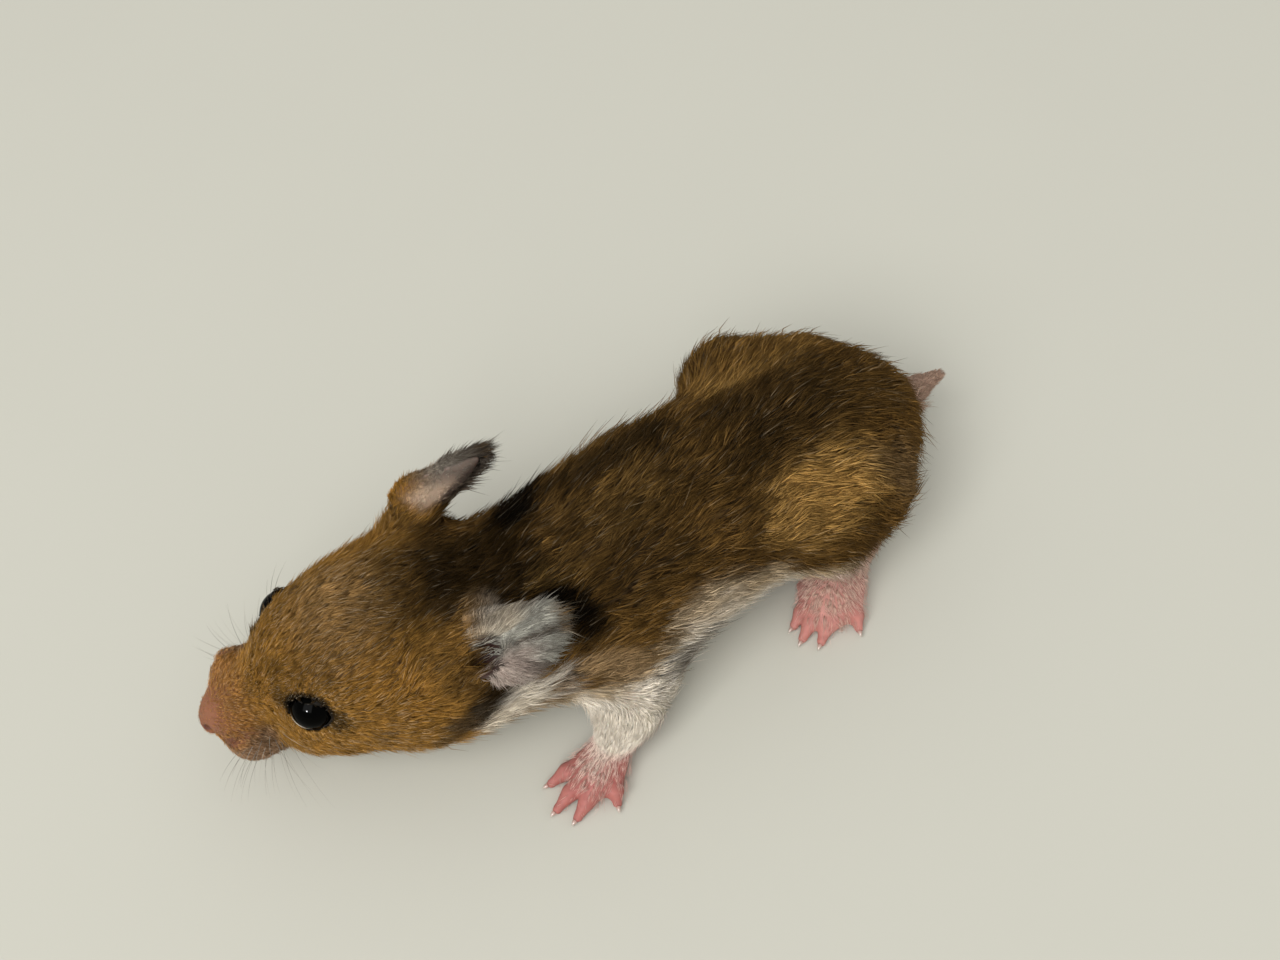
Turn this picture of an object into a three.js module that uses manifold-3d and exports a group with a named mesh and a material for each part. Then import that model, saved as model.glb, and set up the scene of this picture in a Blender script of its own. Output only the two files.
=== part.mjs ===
// A Syrian hamster pup of about three weeks, life size, stretched out low as it walks.
// Millimetres, +Z up, the floor at Z 0. The head points to -X, the tail to +X, and the animal's left is -Y.
// The flesh is one blended form, out to the tips of the coat, parted by thin cuts into named pieces.
import * as THREE from "three";
import { mergeVertices } from "three/addons/utils/BufferGeometryUtils.js";
import Module from "manifold-3d";

const wasm = await Module();
wasm.setup();

// ---------- Driving dimensions ----------
const GAP = 0.3; // clear space between neighbouring pieces
const WELD = 0.02; // points closer than this become one
const BODY_CELL = 2.7; // facet size on the trunk
const HEAD_CELL = 2.2; // facet size on the head
const EYE_RADIUS = 2.3;
const EYE_DEPTH = 1.85; // from the coat's surface down to the eye's centre
const TOE_RADIUS = 0.92;
const CLAW = { length: 0.8, radius: 0.42 };
const NOSE_AT = [-0.6, 0.4, 8.0]; // tip of the nose
const HEAD_YAW = 6; // degrees, how far the head is turned off the body's line
const HEAD_PITCH = 11; // degrees, how far the nose dips below the nape
const TRUNK_BLEND = 3.5;
const LIMB_BLEND = 2.6;
const HEAD_BLEND = 2.2;

// Body masses along the spine: centre and half sizes.
const TRUNK = {
  nape: { at: [28, -4.0, 12.6], r: [8, 11.2, 8.8] },
  neck: { at: [35, -4.6, 12.3], r: [8.5, 10.6, 9.0] },
  shoulders: { at: [42, -4.2, 12.4], r: [9, 11.8, 9.6] },
  chest: { at: [49, -3.0, 12.8], r: [9.5, 12.4, 10.0] },
  waist: { at: [57, -1.7, 13.0], r: [9.5, 11.2, 10.1] },
  hips: { at: [66.5, -0.2, 12.6], r: [9.5, 10.4, 10.3] },
  rump: { at: [74.4, 1.6, 10.8], r: [7.4, 8.2, 8.4] },
};

// Limbs from the trunk outwards: joint centres and radii, and the ellipsoid that parts the limb from the trunk.
const LIMBS = {
  foreleg_left: {
    joints: [
      { at: [41.4, -10.0, 11.0], r: 6.0 },
      { at: [42.3, -13.8, 6.8], r: 4.3 },
      { at: [38.1, -17.6, 3.7], r: 2.9 },
    ],
    cut: { at: [40.4, -15.8, 6.4], r: [8.0, 6.8, 8.2] },
  },
  foreleg_right: {
    joints: [
      { at: [41.2, 1.6, 11.0], r: 6.0 },
      { at: [42.4, 5.4, 6.6], r: 4.0 },
      { at: [37.2, 8.4, 3.7], r: 2.7 },
    ],
    cut: { at: [40.2, 8.2, 6.3], r: [8.1, 6.9, 8.2] },
  },
  hindleg_left: {
    joints: [
      { at: [70.0, -4.9, 11.0], r: 7.6 },
      { at: [64.7, -8.6, 12.2], r: 4.7 },
      { at: [67.8, -9.4, 4.1], r: 2.9 },
    ],
    cut: { at: [68.4, -11.6, 8.0], r: [9.6, 8.4, 10.2] },
  },
  hindleg_right: {
    joints: [
      { at: [69.4, 7.2, 12.0], r: 7.5 },
      { at: [64.0, 11.2, 12.6], r: 5.2 },
      { at: [67.6, 11.6, 4.1], r: 3.0 },
    ],
    cut: { at: [67.4, 15.0, 9.6], r: [10.0, 9.0, 11.2] },
  },
};

// Toes of a forepaw and a hind foot, measured from the palm's centre: turn in degrees from the paw's heading
// (outward is plus) and reach, for the toe's root and for its claw's end.
const FORE_TOES = [
  { root: { turn: -86, reach: 2.1 }, end: { turn: -49, reach: 6.2 } },
  { root: { turn: -33, reach: 2.0 }, end: { turn: -21, reach: 6.9 } },
  { root: { turn: 17, reach: 2.0 }, end: { turn: 0, reach: 6.4 } },
  { root: { turn: 66, reach: 2.2 }, end: { turn: 50, reach: 4.9 } },
];
const HIND_TOES = [
  { root: { turn: -100, reach: 2.9 }, end: { turn: -72, reach: 4.0 } },
  { root: { turn: -52, reach: 2.8 }, end: { turn: -34, reach: 6.3 } },
  { root: { turn: -25, reach: 2.6 }, end: { turn: -18, reach: 6.9 } },
  { root: { turn: 10, reach: 2.4 }, end: { turn: 0, reach: 6.5 } },
  { root: { turn: 66, reach: 2.8 }, end: { turn: 46, reach: 5.6 } },
];
// Paws: the side they are on, the palm's centre on the floor, the heading in degrees from -X outward,
// and the palm's half length, half width and half height.
const PAWS = {
  forepaw_left: { side: -1, palm: [35.0, -19.3], heading: 40, r: [3.3, 2.7, 1.9], toes: FORE_TOES },
  forepaw_right: { side: 1, palm: [34.4, 9.8], heading: 28, r: [3.3, 2.7, 1.9], toes: FORE_TOES },
  hindfoot_left: { side: -1, palm: [65.2, -11.4], heading: 50, r: [4.4, 3.4, 2.1], toes: HIND_TOES },
  hindfoot_right: { side: 1, palm: [64.4, 13.6], heading: 34, r: [4.4, 3.4, 2.1], toes: HIND_TOES },
};

// Head masses in the head's own frame: h back from the nose tip, s to the right, t up. Paired ones repeat at -s.
const HEAD = {
  cranium: { at: [19.5, 0, 1.9], r: [11.5, 9.6, 7.8] },
  brow: { at: [14.0, 3.2, 4.2], r: [3.6, 2.9, 3.9], paired: true },
  cheek: { at: [17.0, 4.6, -0.9], r: [8.6, 5.5, 4.9], paired: true },
  pouch: { at: [23.4, 6.8, -1.2], r: [7.2, 5.6, 6.6], paired: true },
  pad: { at: [5.8, 3.2, -0.7], r: [3.1, 3.3, 2.4], paired: true },
  padTop: { at: [4.5, 3.5, 1.4], r: [1.3, 2.2, 1.1], paired: true },
};
const SNOUT = { from: { at: [3.2, 0, 0.1], r: 2.7 }, to: { at: [11, 0, 0.4], r: 6.1 } };
const NOSE = { from: { at: [1.7, 0, -0.6], r: 1.7 }, to: { at: [3.8, 0, -0.1], r: 2.4 } };
const CHIN = { from: { at: [5.6, 0, -3.0], r: 1.8 }, to: { at: [14, 0, -3.2], r: 4.6 } };
const EYE_AT = [12.7, 7.1, 4.0];
const EAR = { length: 12.0, width: 8.0, thickness: 0.9, sunk: 0.2, cupAtBase: 3.0, cupAtTip: 7.5 };
// Ears: base, the way to the tip, the way the hollow faces, how far the tip leans to the rear,
// and the width towards the tip of the front half and of the rear half, as shares of the full one.
const EARS = {
  ear_left: {
    base: [27.2, -10.7, 18.0],
    tip: [0.83, -0.19, 0.51],
    hollow: [0, -0.36, 0.93],
    lean: 0.4,
    front: 0.55,
    rear: 1.24,
  },
  ear_right: {
    base: [27.7, 5.5, 20.0],
    tip: [0.34, -0.15, 0.96],
    hollow: [0, 0.99, -0.12],
    lean: 4.5,
    front: 1.0,
    rear: 0.74,
  },
};
const TAIL = { base: [78.4, 2.7, 9.3], tip: [87.2, 5.2, 7.8], rootRadius: 2.1, tipRadius: 0.55 };
const NOSE_LENGTH = 1.5; // from the nose's tip to the cut behind it

// ---------- Distance fields ----------
// About the distance to an ellipsoid's surface, negative inside.
function ellipsoid(p, at, r) {
  let outer = 0;
  let slope = 0;
  for (let k = 0; k < 3; k++) {
    const q = (p[k] - at[k]) / r[k];
    outer += q * q;
    slope += (q / r[k]) ** 2;
  }
  outer = Math.sqrt(outer);
  return slope === 0 ? -Math.min(...r) : (outer * (outer - 1)) / Math.sqrt(slope);
}

// The distance to a rod whose radius changes evenly between its two ends.
function rod(p, from, to) {
  let along = 0;
  let length = 0;
  for (let k = 0; k < 3; k++) {
    const d = to.at[k] - from.at[k];
    along += (p[k] - from.at[k]) * d;
    length += d * d;
  }
  const t = THREE.MathUtils.clamp(along / length, 0, 1);
  let away = 0;
  for (let k = 0; k < 3; k++) away += (p[k] - from.at[k] - t * (to.at[k] - from.at[k])) ** 2;
  return Math.sqrt(away) - THREE.MathUtils.lerp(from.r, to.r, t);
}

// A union whose joint is rounded over about k.
function blend(a, b, k) {
  const h = Math.max(k - Math.abs(a - b), 0) / k;
  return Math.min(a, b) - (h * h * k) / 4;
}

function chain(p, joints, k) {
  let d = Infinity;
  for (let i = 1; i < joints.length; i++) {
    const link = rod(p, joints[i - 1], joints[i]);
    d = i === 1 ? link : blend(d, link, k);
  }
  return d;
}

// The head's frame in the part's: its X runs back from the nose, its Y to the right and its Z up.
const headPlace = new THREE.Matrix4()
  .makeRotationFromEuler(
    new THREE.Euler(0, THREE.MathUtils.degToRad(-HEAD_PITCH), THREE.MathUtils.degToRad(-HEAD_YAW), "ZYX"),
  )
  .setPosition(...NOSE_AT);
const headInverse = headPlace.clone().invert();
const inHead = (p) => new THREE.Vector3(...p).applyMatrix4(headInverse).toArray();
const fromHead = (h, s, t) => new THREE.Vector3(h, s, t).applyMatrix4(headPlace).toArray();

function headField(point) {
  const p = inHead(point);
  const mirrored = [p[0], Math.abs(p[1]), p[2]];
  let d = rod(p, SNOUT.from, SNOUT.to);
  for (const mass of Object.values(HEAD)) {
    d = blend(d, ellipsoid(mass.paired ? mirrored : p, mass.at, mass.r), HEAD_BLEND);
  }
  d = blend(d, rod(p, CHIN.from, CHIN.to), HEAD_BLEND);
  return blend(d, rod(p, NOSE.from, NOSE.to), HEAD_BLEND / 2);
}

function bodyField(p) {
  let d = Infinity;
  for (const mass of Object.values(TRUNK)) {
    const next = ellipsoid(p, mass.at, mass.r);
    d = d === Infinity ? next : blend(d, next, TRUNK_BLEND);
  }
  for (const limb of Object.values(LIMBS)) d = blend(d, chain(p, limb.joints, LIMB_BLEND), LIMB_BLEND);
  return d;
}

const fleshField = (p) => blend(bodyField(p), headField(p), TRUNK_BLEND);

// ---------- From fields and geometries to solids ----------
// A solid from a closed geometry.
function solidOf(geometry) {
  const bare = geometry.clone();
  bare.deleteAttribute("normal");
  bare.deleteAttribute("uv");
  const merged = mergeVertices(bare, 1e-4);
  const index = merged.index.array;
  const kept = [];
  for (let i = 0; i < index.length; i += 3) {
    const [a, b, c] = index.slice(i, i + 3);
    if (a !== b && b !== c && a !== c) kept.push(a, b, c);
  }
  return new wasm.Manifold(
    new wasm.Mesh({
      numProp: 3,
      vertProperties: new Float32Array(merged.getAttribute("position").array),
      triVerts: new Uint32Array(kept),
    }),
  );
}

// Draws together the ends of edges shorter than WELD, wherever the surface stays closed.
function withoutShortEdges(places, triangles) {
  const around = places.map(() => new Set());
  triangles.forEach((triangle, i) => triangle.forEach((v) => around[v].add(i)));
  const neighbours = (v) => new Set([...around[v]].flatMap((i) => triangles[i]).filter((u) => u !== v));
  const waiting = places.map((_, v) => v);
  while (waiting.length > 0) {
    const a = waiting.pop();
    const near = neighbours(a);
    for (const b of near) {
      const shared = [...neighbours(b)].filter((v) => near.has(v));
      if (places[a].distanceTo(places[b]) > WELD || shared.length !== 2) continue;
      for (const i of around[b]) {
        const gone = triangles[i].includes(a);
        if (gone) triangles[i].filter((v) => v !== b).forEach((v) => around[v].delete(i));
        else around[a].add(i);
        triangles[i] = gone ? [] : triangles[i].map((v) => (v === b ? a : v));
      }
      around[b].clear();
      waiting.push(a);
      break;
    }
  }
  return triangles.filter((triangle) => triangle.length === 3);
}

function geometryOf(solid) {
  const mesh = solid.getMesh();
  const places = [];
  for (let i = 0; i < mesh.numVert; i++) {
    places.push(new THREE.Vector3().fromArray(mesh.vertProperties, i * mesh.numProp));
  }
  const triangles = [];
  for (let i = 0; i < mesh.numTri; i++) triangles.push([...mesh.triVerts.slice(3 * i, 3 * i + 3)]);
  const geometry = new THREE.BufferGeometry().setFromPoints(places);
  geometry.setIndex(withoutShortEdges(places, triangles).flat());
  geometry.computeVertexNormals();
  return geometry;
}

// Pulls a point onto the field's zero surface, along the field's slope.
function settle(field, p, steps, reach) {
  const NUDGE = 0.05;
  let q = p;
  for (let step = 0; step < steps; step++) {
    const here = field(q);
    const slope = [0, 1, 2].map((k) => {
      const ahead = [...q];
      ahead[k] += NUDGE;
      return (field(ahead) - here) / NUDGE;
    });
    const steep = slope.reduce((sum, s) => sum + s * s, 0);
    if (steep < 1e-6) return q;
    q = q.map((v, k) => THREE.MathUtils.clamp(v - (here * slope[k]) / steep, p[k] - reach, p[k] + reach));
  }
  return q;
}

// The field's zero surface inside the box from low to high, as a solid: one vertex in each cell that it crosses.
function surfaceOf(field, low, high, cell) {
  const count = low.map((v, k) => Math.ceil((high[k] - v) / cell) + 1);
  const at = (c) => c[0] + count[0] * (c[1] + count[1] * c[2]);
  const place = (c) => c.map((v, k) => low[k] + v * cell);
  const closed = (p) => p.reduce((d, v, k) => Math.max(d, low[k] + cell - v, v - high[k] + cell), field(p));
  const value = new Float64Array(count[0] * count[1] * count[2]);
  const corners = [];
  for (let k = 0; k < count[2]; k++) {
    for (let j = 0; j < count[1]; j++) for (let i = 0; i < count[0]; i++) corners.push([i, j, k]);
  }
  for (const c of corners) value[at(c)] = closed(place(c));
  const vertices = [];
  const known = new Map();
  const step = (c, axis, by = 1) => c.map((v, k) => (k === axis ? v + by : v));

  function vertexIn(c) {
    const id = at(c);
    if (known.has(id)) return known.get(id);
    const sum = [0, 0, 0];
    let crossings = 0;
    for (let axis = 0; axis < 3; axis++) {
      for (let side = 0; side < 4; side++) {
        let from = step(c, (axis + 1) % 3, side & 1);
        from = step(from, (axis + 2) % 3, side >> 1);
        const a = value[at(from)];
        const b = value[at(step(from, axis))];
        if (a < 0 === b < 0) continue;
        place(from).forEach((v, k) => (sum[k] += v + (k === axis ? (cell * a) / (a - b) : 0)));
        crossings++;
      }
    }
    const middle = sum.map((v) => v / crossings);
    known.set(id, vertices.length);
    vertices.push(settle(closed, middle, 3, cell * 0.5));
    return known.get(id);
  }

  const triangles = [];
  const apart = (a, b) => Math.hypot(...vertices[a].map((v, k) => v - vertices[b][k]));
  for (const c of corners) {
    for (let axis = 0; axis < 3; axis++) {
      const [u, v] = [(axis + 1) % 3, (axis + 2) % 3];
      if (c[axis] + 1 >= count[axis] || c[u] < 1 || c[v] < 1) continue;
      const inside = value[at(c)] < 0;
      if (inside === value[at(step(c, axis))] < 0) continue;
      const ring = [step(step(c, u, -1), v, -1), step(c, v, -1), c, step(c, u, -1)].map(vertexIn);
      if (!inside) ring.reverse();
      const [p, q, r, s] = ring;
      if (apart(p, r) < apart(q, s)) triangles.push(p, q, r, p, r, s);
      else triangles.push(q, r, s, q, s, p);
    }
  }
  const geometry = new THREE.BufferGeometry();
  geometry.setAttribute("position", new THREE.Float32BufferAttribute(vertices.flat(), 3));
  geometry.setIndex(triangles);
  geometry.computeVertexNormals();
  return geometry;
}

// The same surface moved outwards by a distance, facet for facet.
function swollen(geometry, by) {
  const moved = geometry.clone();
  const places = moved.getAttribute("position");
  const normals = geometry.getAttribute("normal");
  const q = new THREE.Vector3();
  for (let i = 0; i < places.count; i++) {
    q.fromBufferAttribute(normals, i).multiplyScalar(by);
    places.setXYZ(i, places.getX(i) + q.x, places.getY(i) + q.y, places.getZ(i) + q.z);
  }
  return moved;
}

function ball(at, radius, rings) {
  const geometry = new THREE.SphereGeometry(radius, rings * 2, rings);
  geometry.translate(...at);
  return solidOf(geometry);
}

// What lies between two planes across the X axis, half a gap inside each.
function slice(solid, fromX, toX) {
  let kept = solid;
  if (fromX !== null) kept = kept.trimByPlane([1, 0, 0], fromX + GAP / 2);
  if (toX !== null) kept = kept.trimByPlane([-1, 0, 0], -(toX - GAP / 2));
  return kept;
}

const biggest = (solid) => solid.decompose().sort((a, b) => b.volume() - a.volume())[0];

// ---------- Paws ----------
// A toe with its claw, from its root to the claw's end; both are points over the floor.
function toe(root, end, extra) {
  const CAP_STEPS = 2;
  const SIDES = 7;
  const CLAW_SIDES = 5;
  const LIFT = 0.86; // the toe's axis over the sole, in toe radii
  const length = root.distanceTo(end) - CLAW.length - TOE_RADIUS;
  const finger = new THREE.CapsuleGeometry(TOE_RADIUS + extra, length, CAP_STEPS, SIDES);
  finger.translate(0, length / 2, 0);
  const claw = new THREE.ConeGeometry(CLAW.radius, CLAW.length + TOE_RADIUS, CLAW_SIDES);
  claw.translate(0, length + TOE_RADIUS + CLAW.length / 2, 0);
  const forward = end.clone().sub(root).normalize();
  const turn = new THREE.Quaternion().setFromUnitVectors(new THREE.Vector3(0, 1, 0), forward);
  const place = new THREE.Matrix4()
    .makeTranslation(root.x, root.y, TOE_RADIUS * LIFT)
    .multiply(new THREE.Matrix4().makeRotationFromQuaternion(turn));
  return [finger, claw].map((piece) => solidOf(piece.applyMatrix4(place)));
}

// A paw: palm, toes and claws, swollen by extra when it is only to clear room for itself.
function paw({ side, palm, heading, r, toes }, extra = 0) {
  const SOLE_CUT = 0.8; // the palm's centre over the sole, in palm half heights
  // A point over the floor, by its turn from the heading and its reach from the palm's centre.
  const spot = ({ turn, reach }) => {
    const angle = THREE.MathUtils.degToRad(heading + turn);
    return new THREE.Vector3(palm[0] - reach * Math.cos(angle), palm[1] + side * reach * Math.sin(angle), 0);
  };
  const pad = new THREE.SphereGeometry(1, 12, 6);
  pad.scale(...r.map((v) => v + extra));
  pad.rotateZ(-side * THREE.MathUtils.degToRad(heading));
  pad.translate(palm[0], palm[1], r[2] * SOLE_CUT);
  let solid = solidOf(pad);
  for (const { root, end } of toes) {
    for (const piece of toe(spot(root), spot(end), extra)) solid = solid.add(piece);
  }
  return solid.trimByPlane([0, 0, 1], -extra);
}

// ---------- Ears ----------
// A flattened ball, bent round its long axis into a cup that opens towards hollow, deepest at its base.
function ear({ base, tip, hollow, lean, front, rear }) {
  const along = new THREE.Vector3(...tip).normalize();
  const facing = new THREE.Vector3(...hollow);
  facing.addScaledVector(along, -facing.dot(along)).normalize();
  const rearward = new THREE.Vector3().crossVectors(along, facing);
  const flip = Math.sign(rearward.x); // keeps the faces outwards when the hollow is on the other side
  rearward.multiplyScalar(flip);
  const geometry = new THREE.SphereGeometry(1, 12, 9);
  const places = geometry.getAttribute("position");
  for (let i = 0; i < places.count; i++) {
    const v = (places.getY(i) + 1) / 2; // 0 at the base, 1 at the tip
    const across = flip * places.getX(i); // -1 at the front edge, 1 at the rear
    const half = across > 0 ? rear : front;
    const narrow = THREE.MathUtils.lerp(1, half, THREE.MathUtils.smoothstep(v, 0.2, 0.85));
    const wide = (EAR.width / 2) * across * (0.86 + 0.28 * v) * narrow;
    const thick = (EAR.thickness / 2) * places.getZ(i);
    const cup = THREE.MathUtils.lerp(EAR.cupAtBase, EAR.cupAtTip, v);
    const bend = wide / cup;
    const q = new THREE.Vector3(...base)
      .addScaledVector(along, EAR.length * (v - EAR.sunk))
      .addScaledVector(rearward, (cup - thick) * Math.sin(bend) + lean * v * v)
      .addScaledVector(facing, cup - (cup - thick) * Math.cos(bend));
    places.setXYZ(i, q.x, q.y, q.z);
  }
  return solidOf(geometry);
}

// ---------- Tail ----------
// A bare round cone with a rounded tip.
function tail({ base, tip, rootRadius, tipRadius }) {
  const from = new THREE.Vector3(...base);
  const forward = new THREE.Vector3(...tip).sub(from);
  const length = forward.length();
  const profile = [new THREE.Vector2(0, 0), new THREE.Vector2(rootRadius, 0)];
  profile.push(new THREE.Vector2(tipRadius, length - tipRadius));
  profile.push(new THREE.Vector2(tipRadius * 0.6, length - tipRadius * 0.2), new THREE.Vector2(0, length));
  const geometry = new THREE.LatheGeometry(profile, 12);
  const turn = new THREE.Quaternion().setFromUnitVectors(new THREE.Vector3(0, 1, 0), forward.normalize());
  geometry.applyQuaternion(turn);
  geometry.translate(...base);
  return solidOf(geometry);
}

// ---------- The parts ----------
const CUTS = { nape: 26.5, neck: 37, chest: 51, waist: 60 }; // X of the cuts across the body
const BODY_BOX = [[18, -24, -2], [92, 24, 29]];
const HEAD_BOX = [[-5, -20, -2], [36, 16, 29]];
const EYES = { eye_left: -1, eye_right: 1 };

// A solid egg: a ball scaled to its half sizes.
function egg({ at, r }, extra = 0) {
  const geometry = new THREE.SphereGeometry(1, 16, 10);
  geometry.scale(...r.map((v) => v + extra));
  geometry.translate(...at);
  return solidOf(geometry);
}

function buildSolids() {
  const solids = {};
  const bodySurface = surfaceOf(fleshField, ...BODY_BOX, BODY_CELL);
  const headSurface = surfaceOf(fleshField, ...HEAD_BOX, HEAD_CELL);
  const clearOfFlesh = solidOf(swollen(bodySurface, GAP * 1.2)).add(solidOf(swollen(headSurface, GAP * 1.2)));

  let trunk = slice(solidOf(bodySurface), CUTS.nape, null);
  for (const [name, settings] of Object.entries(PAWS)) {
    solids[name] = paw(settings);
    trunk = trunk.subtract(paw(settings, GAP));
  }
  for (const [name, limb] of Object.entries(LIMBS)) {
    solids[name] = biggest(trunk.intersect(egg(limb.cut)));
    trunk = trunk.subtract(egg(limb.cut, GAP));
  }
  solids.neck = biggest(slice(trunk, CUTS.nape, CUTS.neck));
  solids.chest = biggest(slice(trunk, CUTS.neck, CUTS.chest));
  solids.belly = biggest(slice(trunk, CUTS.chest, CUTS.waist));
  solids.rump = biggest(slice(trunk, CUTS.waist, null));
  solids.tail = biggest(tail(TAIL).subtract(clearOfFlesh));

  let head = biggest(slice(solidOf(headSurface), null, CUTS.nape));
  for (const [name, side] of Object.entries(EYES)) {
    const [h, s, t] = EYE_AT;
    const at = settle((p) => headField(p) + EYE_DEPTH, fromHead(h, side * s, t), 6, 6);
    solids[name] = ball(at, EYE_RADIUS, 7);
    head = head.subtract(ball(at, EYE_RADIUS + GAP, 7));
  }
  const back = new THREE.Vector3().setFromMatrixColumn(headPlace, 0);
  const noseCut = back.dot(new THREE.Vector3(...fromHead(NOSE_LENGTH, 0, 0)));
  solids.nose = head.trimByPlane(back.clone().negate().toArray(), -(noseCut - GAP / 2));
  solids.head = head.trimByPlane(back.toArray(), noseCut + GAP / 2);
  for (const [name, settings] of Object.entries(EARS)) {
    solids[name] = biggest(ear(settings).subtract(clearOfFlesh));
  }
  return solids;
}

// ---------- The animal ----------
const COLOURS = {
  fur: 0x7d5730,
  darkFur: 0x4a3a2a,
  paleFur: 0xcfc4b4,
  skin: 0xd79f97,
  ear: 0x8a7d74,
  eye: 0x0b0a0a,
};
const COLOUR_OF = {
  head: "fur",
  nose: "skin",
  neck: "darkFur",
  chest: "darkFur",
  belly: "fur",
  rump: "fur",
  tail: "skin",
  ear_left: "ear",
  ear_right: "ear",
  eye_left: "eye",
  eye_right: "eye",
  foreleg_left: "paleFur",
  foreleg_right: "paleFur",
  forepaw_left: "skin",
  forepaw_right: "skin",
  hindleg_left: "fur",
  hindleg_right: "fur",
  hindfoot_left: "skin",
  hindfoot_right: "skin",
};

function buildAnimal() {
  const animal = new THREE.Group();
  for (const [name, solid] of Object.entries(buildSolids())) {
    const colour = COLOUR_OF[name];
    const wet = colour === "eye";
    const material = new THREE.MeshStandardMaterial({
      color: COLOURS[colour],
      roughness: wet ? 0.1 : 0.85,
      metalness: 0,
    });
    const mesh = new THREE.Mesh(geometryOf(solid), material);
    mesh.name = name;
    animal.add(mesh);
  }
  return animal;
}

// The origin is on the floor under the middle of the animal's box.
const root = new THREE.Group();
const hamster = buildAnimal();
const middle = new THREE.Box3().setFromObject(hamster).getCenter(new THREE.Vector3());
hamster.position.set(-middle.x, -middle.y, 0);
root.add(hamster);

export default root;
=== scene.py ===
"""The looks of a Syrian hamster pup: one skin over all the flesh, its coat, eyes, claws and whiskers."""

import math

import bpy
import numpy as np
import openvdb as vdb
from mathutils import Matrix, Vector
from mathutils.kdtree import KDTree


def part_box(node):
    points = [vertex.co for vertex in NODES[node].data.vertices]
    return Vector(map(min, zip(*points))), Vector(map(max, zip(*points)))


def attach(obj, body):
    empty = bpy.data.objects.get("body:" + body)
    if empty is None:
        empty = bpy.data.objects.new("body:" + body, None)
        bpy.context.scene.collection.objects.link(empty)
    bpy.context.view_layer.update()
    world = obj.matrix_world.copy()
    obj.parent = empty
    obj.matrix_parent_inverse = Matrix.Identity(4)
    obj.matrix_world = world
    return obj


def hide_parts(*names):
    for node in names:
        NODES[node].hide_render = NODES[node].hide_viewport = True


# ---------- The frame ----------
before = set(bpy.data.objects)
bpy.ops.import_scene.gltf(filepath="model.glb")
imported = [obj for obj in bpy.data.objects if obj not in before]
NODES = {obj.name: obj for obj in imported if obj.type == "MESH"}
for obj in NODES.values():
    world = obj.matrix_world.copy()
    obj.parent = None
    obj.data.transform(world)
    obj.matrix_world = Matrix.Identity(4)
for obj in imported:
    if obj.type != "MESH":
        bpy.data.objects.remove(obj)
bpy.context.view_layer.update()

# All measures below are in millimetres from the nose's end: X back along the body, Y to the right, Z up.
# MIDDLE is where the part's own origin lies in them.
MIDDLE = np.array([43.4711, -2.5640, 0.0])
STEP = 0.25  # cell of the fields that the skin is made from
LOW = np.array([-2.5, -26.5, -2.5])
HIGH = np.array([90.0, 21.5, 28.5])
SHAPE = tuple(int(n) for n in np.ceil((HIGH - LOW) / STEP))
BAND = 3.0  # how far from a surface its distance is kept
SEAM = 0.8  # closes the gaps between the solids
SOFTNESS = 0.8  # rounds off what is left of them
RANDOM = np.random.default_rng(11)

# The head's own frame: h back from the nose's tip, s to the right, t up.
NOSE_AT = np.array([-0.6, 0.4, 8.0])
HEAD_YAW = math.radians(-6)
HEAD_PITCH = math.radians(-11)
# Middle line of the body: X and the Y of its middle there.
SPINE_X = [0, 28, 35, 42, 49, 57, 66.5, 74.4, 84]
SPINE_Y = [0.4, -3.6, -4.6, -4.2, -3.0, -1.7, -0.2, 1.6, 4.0]

EYE_RADIUS = 2.3
LID = {"long": 1.95, "short": 1.3, "thick": 0.09, "turn": 34}  # half opening, rim and its slant in degrees

# Limb chains from the trunk outwards, the last point at the middle of the paw.
LIMBS = {
    "foreleg_left": [(41.4, -10.0, 11.0), (42.3, -13.8, 6.8), (38.1, -17.6, 3.7), (34.6, -20.0, 1.4)],
    "foreleg_right": [(41.2, 1.6, 11.0), (42.4, 5.4, 6.6), (37.2, 8.4, 3.7), (34.0, 10.2, 1.4)],
    "hindleg_left": [(70.0, -4.9, 11.0), (64.7, -8.6, 12.2), (67.8, -9.4, 4.1), (64.4, -12.8, 1.4)],
    "hindleg_right": [(69.4, 7.2, 12.0), (66.0, 11.6, 9.0), (66.8, 12.2, 4.1), (63.2, 14.4, 1.4)],
}
# Each ear's root, where it points and opens to, and how far it leans to the rear. Then the share of the full
# width in front and behind towards its tip, and how pointed that is. Then its canal: the share of the length,
# and mm to the rear and towards the hollow.
EARS = {
    "ear_left": dict(
        base=np.array([27.2, -10.7, 18.0]), tip=(0.83, -0.19, 0.51), hollow=(0, -0.36, 0.93),
        lean=0.4, front=0.55, rear=1.24, point=0.0, hole=(0.33, 1.1, 0.9),
    ),
    "ear_right": dict(
        base=np.array([27.7, 5.5, 20.0]), tip=(0.34, -0.15, 0.96), hollow=(0, 0.99, -0.12),
        lean=4.5, front=1.0, rear=0.74, point=0.4, hole=(0.33, 0.2, 1.8),
    ),
}
EAR = {"length": 12.0, "width": 8.0, "half_thick": 0.4, "sunk": 0.2, "cup_at_base": 3.0, "cup_at_tip": 7.5}
# The fold along an ear: places given as the canal is, and radii.
EAR_FOLD = [(0.2, -0.9, 0.4, 0.9), (0.5, -1.2, 0.7, 0.8), (0.8, -1.3, 0.7, 0.35)]
TAIL_BASE = np.array([78.4, 2.7, 9.3])
TAIL_TIP = np.array([87.2, 5.2, 7.8])

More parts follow.
